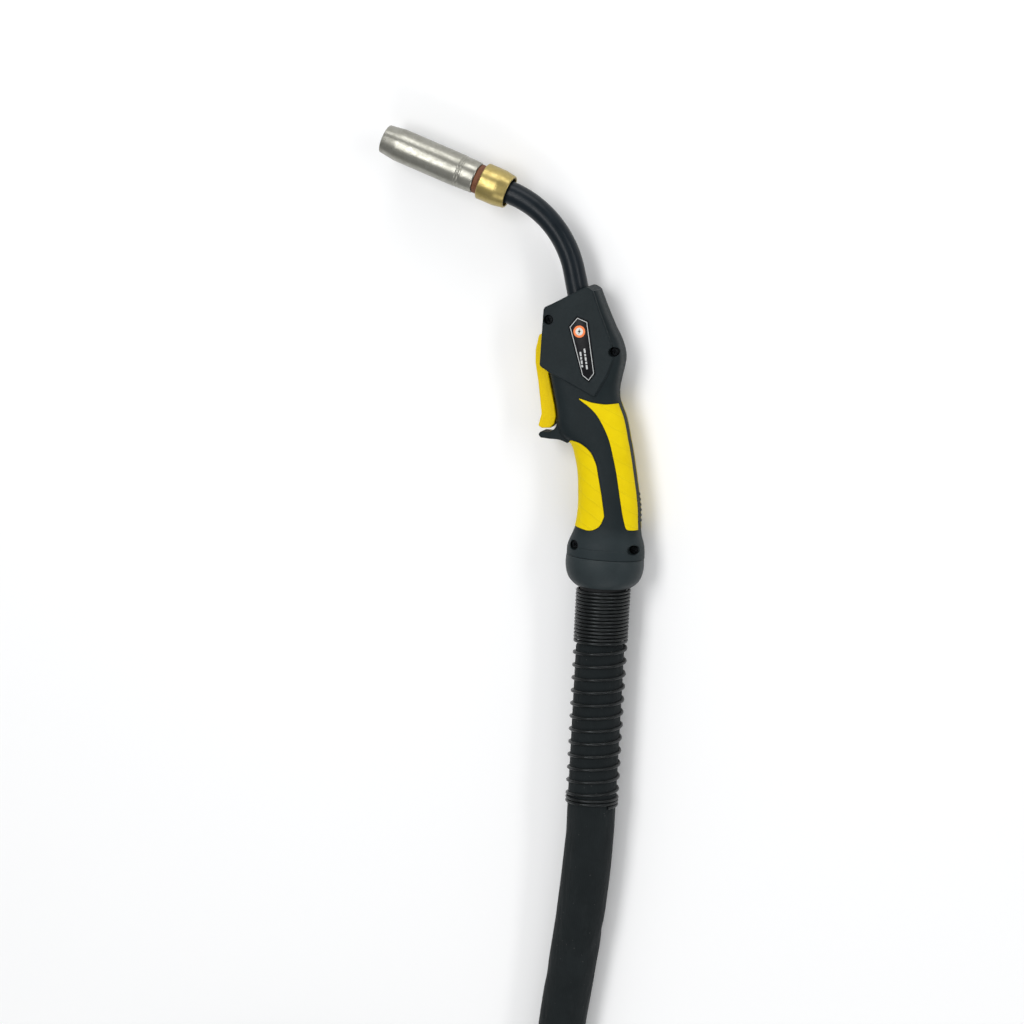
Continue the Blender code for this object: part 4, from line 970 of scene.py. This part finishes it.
# short ribs across the spine of the grip, low on its back
ribs = []
for k in range(6):
    y = 30.5 + 3.9 * k
    xb = next(b for (ya, _, a, *_), (yb, _, b, *_) in zip(FINE, FINE[1:]) if yb <= y <= ya)
    rib = rod("rib", 1.5, (xb - 1.18, y, -6.5), (xb - 1.18, y, 6.5), 28)
    ribs.append(("UNION", bevelled(rib, 0.6, 3, 50)))
steps = list(ribs)
for name, (x, y, seat) in SCREWS.items():
    steps.append(("DIFFERENCE", rod(name, 3.7, (x, y, seat), (x, y, 26), 56)))
    steps.append(("DIFFERENCE", rod(name, 1.6, (x, y, seat + 1), (x, y, -8.2), 24)))
grip_body = boolean(grip_body, *steps)

PAD_FRONT = [(-44.0, 79.0, 0), (-33.0, 82.6, 0), (-30.6, 86.4, 2), (-27.6, 88.6, 2), (-20.5, 87.6, 20),
             (-11.3, 82.0, 20), (-6.4, 72.0, 20), (-1.0, 49.0, 0), (1.9, 34.0, 5), (-1.0, 26.0, 12),
             (-8.0, 22.2, 14), (-19.4, 23.6, 0), (-44.0, 26.8, 0)]
PAD_BACK = [(-24.2, 121.4, 0.6), (-12.6, 118.4, 6), (-3.3, 117.5, 6), (8.0, 118.4, 0), (40.0, 122.0, 0),
            (40.0, 24.9, 0), (23.5, 24.6, 0), (18.4, 25.0, 10), (15.6, 35.0, 30), (8.9, 68.0, 200), (2.0, 93.0, 200),
            (-9.0, 111.8, 200)]
PADS = {"front": (fillet(PAD_FRONT, 7), 3.4), "back": (fillet(PAD_BACK, 7), 5.2)}
for side_name, sign in (("near", 1), ("far", -1)):
    for where, (outline, edge) in PADS.items():
        low, high = (edge, 30.0) if sign > 0 else (-30.0, -edge)
        pad = boolean(prism("pad", outline, low, high),
                      ("INTERSECT", loft("pad_outer", grip_rings(-0.35, 72, 18, 140))),
                      ("DIFFERENCE", loft("pad_floor", grip_rings(1.1, 72, 8, 146))))
        piece(f"grip_pad_{where}_{side_name}_visual", pad, PADS_SKIN,
              nodes=(f"grip_pad_{where}_{side_name}",), weighted=True)
        low, high = (edge - GAP, 30.0) if sign > 0 else (-30.0, -edge + GAP)
        recess = boolean(prism("recess", grown(outline, GAP), low, high),
                         ("DIFFERENCE", loft("recess_floor", grip_rings(1.4, 72, 8, 146))))
        grip_body = boolean(grip_body, ("DIFFERENCE", recess))

BADGE = [(-27.8, 181.4), (-19.2, 178.6), (-11.2, 140.2), (-15.5, 133.7), (-21.3, 137.7), (-33.6, 173.5)]
grip_body = boolean(grip_body, ("DIFFERENCE", prism("badge_recess", grown(BADGE, GAP), PANEL_Z - 0.8, PANEL_Z + 4, panel_slope)))

for side_name, sign in (("near", 1), ("far", -1)):
    low, high = (-40.0, 0.12) if sign > 0 else (-0.12, 40.0)
    half = boolean(grip_body.copy(), ("DIFFERENCE", box("beyond", (-90, -30, low), (60, 230, high))))
    if sign < 0:
        half = boolean(half, ("UNION", box("spring_seat", (-33.0, 107.0, -15.6), (-30.4, 117.0, 4.5))))
    piece(f"handle_{side_name}_visual", half, SHELL, nodes=(f"handle_shell_{side_name}",), weighted=True)


# ---------------------------------------------------------------- screws
def screw(radius, head, shank, depth):
    """A cross-head screw standing on z = 0: its head is above, its shank goes down."""
    made = turned("screw", eased([(radius - 0.35, head), (radius, head - 0.35), (radius, 0.3), (shank, 0.0), (shank, -depth)], 0.12),
                  None, steps=48)
    cross = []
    for k in range(2):
        arm = box("arm", (-radius * 0.62, -0.36, head - 1.1), (radius * 0.62, 0.36, head + 1.0))
        arm.transform(Matrix.Rotation(k * PI / 2 + 0.5, 4, "Z"))
        cross.append(("DIFFERENCE", arm))
    cross.append(("DIFFERENCE", rod("well", 0.75, (0, 0, head - 1.35), (0, 0, head + 0.6), 20)))
    return boolean(made, *cross)


for k, (name, (x, y, seat)) in enumerate(SCREWS.items()):
    made = screw(3.0, 2.0, 1.25, seat + 7.6)
    made.transform(Matrix.Translation((x, y, seat + 0.3)) @ Matrix.Rotation(0.9 * k, 4, "Z"))
    piece(name + "_visual", made, SCREW_SKIN, nodes=(name,))

# ---------------------------------------------------------------- badge: plate, thin outline, disc with a bolt, short bars
def flat(name, outline, z, thick=0.06):
    return prism(name, outline, z, z + thick, panel_slope)


badge_low = PANEL_Z - 0.5
plate = bevelled(prism("plate", BADGE, badge_low, PANEL_Z + 0.22, panel_slope), 0.18, 2, 50)
centre = Vector((sum(p[0] for p in BADGE) / 6, sum(p[1] for p in BADGE) / 6))
outer_line, inner_line = grown(BADGE, -0.75), grown(BADGE, -1.25)
frame_bm = bmesh.new()
top_z = PANEL_Z + 0.20
for k in range(6):
    quad = [outer_line[k], outer_line[(k + 1) % 6], inner_line[(k + 1) % 6], inner_line[k]]
    low = [frame_bm.verts.new((x, y, top_z + panel_slope(y, 1))) for x, y in quad]
    high = [frame_bm.verts.new((x, y, top_z + 0.09 + panel_slope(y, 1))) for x, y in quad]
    for i in range(4):
        j = (i + 1) % 4
        frame_bm.faces.new((low[i], low[j], high[j], high[i]))
    frame_bm.faces.new(low)
    frame_bm.faces.new(high)
rim = to_mesh("rim", frame_bm, turn=True)
DISC = Vector((-25.3, 170.5))


def disc(radius, z, thick, steps=40):
    return flat("disc", [(DISC.x + radius * math.cos(2 * PI * k / steps), DISC.y + radius * math.sin(2 * PI * k / steps))
                         for k in range(steps)], z, thick)


orange = disc(4.5, top_z - 0.05, 0.14)
pale = disc(2.9, top_z - 0.02, 0.15)
mark = disc(0.4, top_z, 0.16)
bolt_shape = [(0.35, 2.1), (-1.25, -0.35), (-0.15, -0.35), (-0.55, -2.1), (1.25, 0.55), (0.15, 0.55)]
bolt = flat("bolt", [(DISC.x + x, DISC.y + y) for x, y in bolt_shape], top_z + 0.02, 0.18)
lean = Vector((BADGE[2][0] - BADGE[1][0], BADGE[2][1] - BADGE[1][1])).normalized()
across = Vector((-lean.y, lean.x))
bars = []
for shift, start_at, end_at in ((2.1, 13.0, 29.0), (-1.3, 15.0, 27.0)):
    row = DISC + lean * 0 + across * shift
    t = start_at
    for long in (3.2, 1.7, 2.6, 1.7, 3.2)[: 5 if shift > 0 else 4]:
        a, b = row + lean * t, row + lean * (t + long)
        bars.append(flat("bar", [tuple(a - across * 0.66), tuple(b - across * 0.66), tuple(b + across * 0.66), tuple(a + across * 0.66)],
                         top_z - 0.02, 0.11))
        t += long + 0.75
badge_mesh = joined("badge_visual", plate, rim, orange, pale, mark, bolt, joined("bars", *bars))
for face in badge_mesh.polygons:
    face.material_index = min(face.material_index, 6)
bars_index = 6
for skin in (BADGE_BLACK, BADGE_LINE, BADGE_ORANGE, BADGE_PALE, BADGE_BLACK, BADGE_BLACK, BADGE_LINE):
    badge_mesh.materials.append(skin)
piece("badge_visual", badge_mesh, [BADGE_BLACK, BADGE_LINE, BADGE_ORANGE, BADGE_PALE], nodes=("badge_plate",))

# ---------------------------------------------------------------- trigger and what it works
TRIGGER = [(-58.6, 164.6, 3), (-60.6, 153.0, 8), (-60.2, 143.5, 8), (-57.4, 130.1, 0), (-54.9, 115.1, 0),
           (-53.5, 105.5, 4), (-55.5, 96.4, 1.2), (-52.6, 94.8, 1), (-45.7, 95.5, 1.5), (-43.1, 98.8, 3),
           (-42.1, 105.0, 6), (-43.9, 113.5, 10), (-46.7, 124.4, 0), (-49.6, 136.0, 4), (-50.3, 147.0, 4),
           (-48.2, 156.0, 3), (-47.8, 165.0, 3), (-52.4, 168.0, 2)]
lever = bevelled(prism("trigger", fillet(TRIGGER, 8), -6.6, 6.6), 1.8, 6, 50)
lever = boolean(lever, ("DIFFERENCE", rod("bore", 1.8, (px, py, -9), (px, py, 9), 32)))
piece("trigger_visual", lever, TRIGGER_SKIN, "trigger_lever", ("trigger",), weighted=True)
piece("trigger_pin_visual", bevelled(rod("trigger_pin", 1.45, (px, py, -11.8), (px, py, 11.8), 32), 0.3, 3, 50), STEEL,
      nodes=("trigger_pin",))


def helix(centre, axis, turns, radius, start=0.0):
    axis = Vector(axis).normalized()
    side = Vector((0, 0, 1)) if abs(axis.z) < 0.9 else Vector((1, 0, 0))
    up = axis.cross(side)
    pts, angle, along, r = [], start, 0.0, radius
    for count, pitch, r_end, density in turns:
        n = max(2, round(count * density))
        for k in range(n):
            t = k / n
            a = angle + 2 * PI * count * t
            rr = r + (r_end - r) * t
            pts.append(Vector(centre) + axis * (along + pitch * count * t) + side * rr * math.cos(a) + up * rr * math.sin(a))
        angle += 2 * PI * count
        along += pitch * count
        r = r_end
    pts.append(Vector(centre) + axis * along + side * r * math.cos(angle) + up * r * math.sin(angle))
    return pts


squeezed = piece("trigger_spring_visual", tube_mesh("trigger_spring", helix((-42.9, 112.0, 0), (1, 0, 0), [(4.0, 2.2, 2.8, 28)], 2.8), 0.4, 10),
                 STEEL, nodes=("trigger_spring",))
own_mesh(squeezed)

start = along_neck(62.4)
piece("power_cable_visual", tube_mesh("power_cable", smooth_path([start - SIDE_OUT * 2.5, (-17.9, 135, 0), (-14.2, 122, 0), (-9.3, 107, 0),
      (-5.0, 92, 0), (-1.3, 70, 0), (0, 45, 0), (0, 15, 0), (0, -9, 0)], 70), 6.8, 32), RUBBER, nodes=("power_cable",))
piece("gas_hose_visual", tube_mesh("gas_hose", smooth_path([start + SIDE_OUT * 7.9, (-7.0, 135, 0), (-3.4, 122, 0), (1.6, 107, 0),
      (5.8, 92, 0), (9.5, 70, 0), (10.8, 45, 0), (11, 15, 0), (11, -9, 0)], 70), 3.1, 24), HOSE, nodes=("gas_hose",))
lead_keys = [Vector(p) for p in ((-38.9, 132.3, 0), (-34.5, 127.0, 0), (-28.0, 120.0, 0), (-24.5, 108.0, 0), (-19.5, 90.0, 0),
                                 (-12.8, 60.0, 0), (-11.0, 30.0, 0), (-11.0, -9.0, 0))]
lead_line = smooth_path(lead_keys, 120)
strands = []
for k in range(2):                           # a twisted pair
    strand = []
    for i, p in enumerate(lead_line):
        t = (lead_line[min(i + 1, 119)] - lead_line[max(i - 1, 0)]).normalized()
        side = Vector((0, 0, 1)).cross(t).normalized()
        a = 2 * PI * i / 16 + PI * k
        strand.append(p + side * 0.68 * math.cos(a) + Vector((0, 0, 0.68 * math.sin(a))))
    strands.append(tube_mesh("strand", strand, 0.66, 10))
piece("switch_leads_visual", joined("switch_leads", *strands), LEAD, nodes=("switch_leads",))
for ob in bpy.data.objects:
    if ob.name == "switch_leads_visual":
        for face in ob.data.polygons:
            face.material_index = 0

# ---------------------------------------------------------------- rear cap, support, spring
CAP = [(1.7, 29.4, 23.6, 2.1), (-3.5, 29.7, 23.8, 2.1), (-8.5, 29.2, 23.5, 2.1), (-12.5, 28.2, 23.0, 2.1),
       (-16.0, 26.4, 22.2, 2.1), (-18.6, 24.0, 21.3, 2.05), (-20.6, 21.4, 20.2, 2.0)]
cap_rings = [oval(y, -a, a, b, n, n, 96) for y, a, b, n in finer([(y, a, b, n) for y, a, b, n in CAP], 1.2)]
lip = CAP[0]
cap_rings = [oval(1.7, -(lip[1] - 0.5), lip[1] - 0.5, lip[2] - 0.5, 2.1, 2.1, 96),
             oval(1.2, -lip[1], lip[1], lip[2], 2.1, 2.1, 96)] + [r for r in cap_rings if r[0][1] < 0.7]
cap = loft("rear_cap", cap_rings)
cap = boolean(cap, ("DIFFERENCE", loft("cap_hollow", [oval(y, -a, a, b, 2.1, 2.1, 64) for y, a, b in (
    (4.0, 26.9, 21.4), (-8.0, 26.8, 21.3), (-13.9, 23.6, 20.2))])),
    ("DIFFERENCE", rod("cap_bore", 18.3, (0, -10, 0), (0, -24, 0), 96)))
for v in cap.vertices:
    v.co.z = max(v.co.z, FLOOR + 0.02)
piece("rear_cap_visual", cap, CAP_PLASTIC, nodes=("rear_cap",), weighted=True, sharp=40)
piece("cable_support_visual", turned("cable_support", eased([(19.0, 5.6), (19.6, 5.2), (19.6, 0.3), (17.5, 0.3), (17.5, -44.6), (17.1, -45.0)], 0.2),
                                     [(16.15, -45.0), (16.15, 5.6)], (0, -13.6, 0), (0, 1, 0), 96), RUBBER,
      nodes=("cable_support",))
spring_points = helix((0, -22.0, 0), (0, -1, 0),
                      [(1.0, 3.1, 19.4, 56), (14.0, 2.72, 19.35, 56), (12.0, 9.85, 19.0, 56), (2.6, 2.72, 18.9, 56)],
                      19.5, start=PI / 2)
support_spring = piece("support_spring_visual", tube_mesh("support_spring", spring_points, 1.2, 14), WIRE,
                       nodes=("support_spring",), sharp=60)

# ---------------------------------------------------------------- machine connector
BASE = Vector((COIL_X - 46.0, COIL_Y - MID_R, CONNECTOR_Z))
OUT = (-1, 0, 0)


def plug(name, outer, inner=None, steps=72):
    return turned(name, outer, inner, BASE, OUT, steps)


boot_outer = [(22.2, 8.0), (22.6, 7.6), (22.6, 2.0)]
for k in range(6):                           # ribbed, tapering strain relief
    h = 0.0 - 5.4 * k
    r = 22.2 - 0.46 * k
    boot_outer += [(r, h), (r, h - 3.0), (r - 1.1, h - 3.3), (r - 1.1, h - 5.0)]
boot_outer += [(19.3, -33.0), (19.0, -35.6), (18.6, -36.0)]
boot = piece("connector_boot_visual", plug("boot", eased(boot_outer, 0.25, 2), [(17.6, -36.0), (17.6, 8.0)]), RUBBER,
             nodes=("connector_boot",))
housing = plug("housing", eased([(22.2, 66.0), (23.3, 65.0), (23.3, 12.0), (22.0, 8.3), (21.4, 8.3)], 0.4),
               [(17.0, 8.3), (20.8, 12.0), (20.8, 66.0)])
SCREW_AT = [(BASE.x - 26.0, BASE.y + s * 17.4) for s in (-1, 1)]
for half, sign in (("upper", 1), ("lower", -1)):
    low, high = (-40.0, 0.15) if sign > 0 else (-0.15, 40.0)
    steps = []
    for x, y in SCREW_AT:
        steps.append(("UNION", rod("column", 3.4, (x, y, BASE.z - 13), (x, y, BASE.z + 13), 32)))
    for x, y in SCREW_AT:
        steps.append(("DIFFERENCE", rod("bore", 2.7, (x, y, BASE.z + 10), (x, y, BASE.z + 24), 40)))
        steps.append(("DIFFERENCE", rod("bore", 1.5, (x, y, BASE.z + 11), (x, y, BASE.z - 9), 20)))
    for k in range(5):                       # thumb grooves across the flat of the housing
        x = BASE.x - 40.0 - 4.2 * k
        steps.append(("DIFFERENCE", bevelled(box("groove", (x - 0.8, BASE.y - 9, BASE.z + sign * 23.0 - 0.7), (x + 0.8, BASE.y + 9, BASE.z + sign * 23.0 + 0.9)), 0.3, 2)))
    steps.append(("DIFFERENCE", box("beyond", (BASE.x - 90, BASE.y - 40, BASE.z + low), (BASE.x + 20, BASE.y + 40, BASE.z + high))))
    piece(f"connector_housing_{half}_visual", boolean(housing.copy(), *steps), SHELL,
                                  nodes=(f"connector_housing_{half}",), weighted=True)
for k, (x, y) in enumerate(SCREW_AT):
    made = screw(2.3, 2.1, 1.15, 18.7)
    made.transform(Matrix.Translation((x, y, BASE.z + 10.3)))
    piece(f"connector_screw_{'ab'[k]}_visual", made, SCREW_SKIN,
                                  nodes=(f"connector_screw_{'ab'[k]}",))
PIN_OFFSET = [Vector((0, s * 9.0, 8.0)) for s in (-1, 1)]
block = plug("connector_body", eased([(5.8, 78.0), (17.3, 78.0), (18.2, 77.4), (18.2, 67.0), (20.4, 67.0), (20.4, 42.0), (19.8, 42.0)], 0.3),
             [(5.4, 42.0), (5.4, 77.6)])
steps = []
for off in PIN_OFFSET:
    c = BASE + off
    steps.append(("DIFFERENCE", rod("pin_bore", 2.7, c + Vector((-40, 0, 0)), c + Vector((-80, 0, 0)), 32)))
piece("connector_body_visual", boolean(block, *steps), BRASS_X, nodes=("connector_body",))
piece("connector_wire_tube_visual", plug("wire_tube", eased([(2.5, 108.0), (3.3, 108.0), (3.6, 107.8), (5.0, 105.5), (5.0, 44.0)], 0.2),
                                                                 [(2.2, 44.0), (2.2, 107.6)], 48), BRASS_X,
                              nodes=("connector_wire_tube",))
piece("connector_o_ring_visual", plug("o_ring", [(6.4 + math.cos(a), 98 + math.sin(a)) for a in [PI / 2 - k * PI / 8 for k in range(9)]],
                                                              [(6.4 + math.cos(a), 98 + math.sin(a)) for a in [-PI / 2 - k * PI / 8 for k in range(1, 8)]], 48),
                              RUBBER, nodes=("connector_o_ring",))
ring = plug("lock_ring", eased([(24.6, 86.0), (25.0, 86.0), (26.0, 85.0), (26.0, 60.5), (25.2, 59.5), (24.6, 59.5)], 0.3),
            [(23.8, 59.5), (23.8, 67.4), (18.8, 67.4), (18.8, 71.0), (21.5, 71.0), (21.5, 86.0)], 120)
steps = []
for k in range(6):
    a = 2 * PI * (k + 0.5) / 6
    off = Vector((0, math.cos(a), math.sin(a))) * 27.6
    steps.append(("DIFFERENCE", rod("flute", 3.2, BASE + off + Vector((-62, 0, 0)), BASE + off + Vector((-88, 0, 0)), 32)))
piece("connector_lock_ring_visual", boolean(ring, *steps), SHELL, "lock_ring",
                              ("connector_lock_ring",), weighted=True)
for k, off in enumerate(PIN_OFFSET):
    c = BASE + off
    ab = "ab"[k]
    piece(f"control_pin_{ab}_visual", turned("pin", eased([(0.6, 87.0), (1.2, 86.9), (1.9, 86.2), (1.9, 66.0)], 0.2), None, c, OUT, 28),
                                  BRASS_X, f"pin_{ab}", (f"control_pin_{ab}",))
    coil = piece(f"pin_spring_{ab}_visual", tube_mesh("pin_spring", helix(c + Vector((-50.0, 0, 0)), OUT, [(4.0, 3.8, 1.75, 24)], 1.75), 0.35, 8),
                 STEEL, nodes=(f"pin_spring_{ab}",))
    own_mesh(coil)

# a hook-and-loop strap that holds the two turns of the coil together
strap_at, strap_wide = 165.0, 16.0
outline = []
for k in range(40):
    t = 2 * PI * k / 40
    outline.append((MID_R + (17.5 + 17.3 + 1.2) * math.copysign(abs(math.cos(t)) ** 0.62, math.cos(t)),
                    LAY + (17.3 + 1.0) * math.copysign(abs(math.sin(t)) ** 0.62, math.sin(t))))
strap_bm = bmesh.new()
loops = []
for deg in (strap_at - 2.7, strap_at - 0.9, strap_at + 0.9, strap_at + 2.7):
    for thick in (0.0,):
        loops.append([on_coil(deg, r, max(z, FLOOR + 0.15)) for r, z in outline])
verts = [[strap_bm.verts.new(p) for p in loop] for loop in loops]
for a, b in zip(verts, verts[1:]):
    for k in range(40):
        strap_bm.faces.new((a[k], a[(k + 1) % 40], b[(k + 1) % 40], b[k]))
strap = worked(to_mesh("strap", strap_bm, turn=True), ("SOLIDIFY", dict(thickness=0.9, offset=-1.0)), ("SUBSURF", dict(levels=1, render_levels=1)))
for v in strap.vertices:
    v.co.z = max(v.co.z, FLOOR + 0.1)
strap_piece = piece("coil_strap", strap, STRAP, sharp=60)

# ================================================================ CAD nodes that keep their own shape
KEPT = {"neck_conductor": COPPER, "wire_liner": STEEL, "neck_clamp": BRASS, "clamp_screw": STEEL, "neck_head": BRASS,
        "microswitch_body": SHELL, "switch_plunger": TRIGGER_SKIN}
for name, skin in KEPT.items():
    ob = bpy.data.objects.get(name) or next(o for o in bpy.data.objects if o.get("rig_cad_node") == name or o.name.startswith(name))
    for k in range(len(ob.material_slots)):
        ob.material_slots[k].material = skin

# ================================================================ floor, light
floor_bm = bmesh.new()
bmesh.ops.create_grid(floor_bm, x_segments=2, y_segments=2, size=6.0)
floor_mesh = to_mesh("floor", floor_bm)
floor = bpy.data.objects.new("floor", floor_mesh)
scene.collection.objects.link(floor)
s = Skin("floor_paper")
tint = s.noise(s.P, 0.002, 2.0)
s.set(Base_Color=s.mix(tint, (0.895, 0.895, 0.895), (0.905, 0.905, 0.905)), Roughness=0.9)
s.bsdf.inputs["Specular IOR Level"].default_value = 0.1
floor_mesh.materials.append(s.m)
floor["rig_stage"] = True


def softbox(name, toward, distance, wide, tall, power):
    toward = toward.normalized()
    data = bpy.data.lights.new(name, "AREA")
    data.shape = "RECTANGLE"
    data.size, data.size_y = wide, tall
    data.energy = power
    ob = bpy.data.objects.new(name, data)
    scene.collection.objects.link(ob)
    at = LOOK_AT + toward * distance
    z = toward
    x = Vector((0, 1, 0)).cross(z).normalized()
    y = z.cross(x)
    ob.matrix_world = Matrix.Translation(at) @ Matrix((x, y, z)).transposed().to_4x4()
    return ob


def leaning(degrees, up_degrees=0.0):
    """A direction seen degrees to the right of the camera's and up_degrees above it."""
    a, b = math.radians(degrees), math.radians(up_degrees)
    return (BACK * math.cos(a) + RIGHT * math.sin(a)) * math.cos(b) + UP * math.sin(b)


softbox("key", leaning(-30, 8), 2.3, 0.75, 1.7, 26.0)
softbox("edge", leaning(36, 4), 2.3, 0.30, 1.7, 11.0)
softbox("top", leaning(4, 62), 2.4, 1.8, 0.9, 19.0)
softbox("foot", leaning(-6, -58), 2.6, 1.8, 0.8, 14.0)

world = bpy.data.worlds.new("studio")
world.use_nodes = True
scene.world = world
world.node_tree.nodes["Background"].inputs[0].default_value = (0.97, 0.985, 1.0, 1)
world.node_tree.nodes["Background"].inputs[1].default_value = 0.42
scene.view_settings.view_transform = "Standard"

low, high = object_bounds()
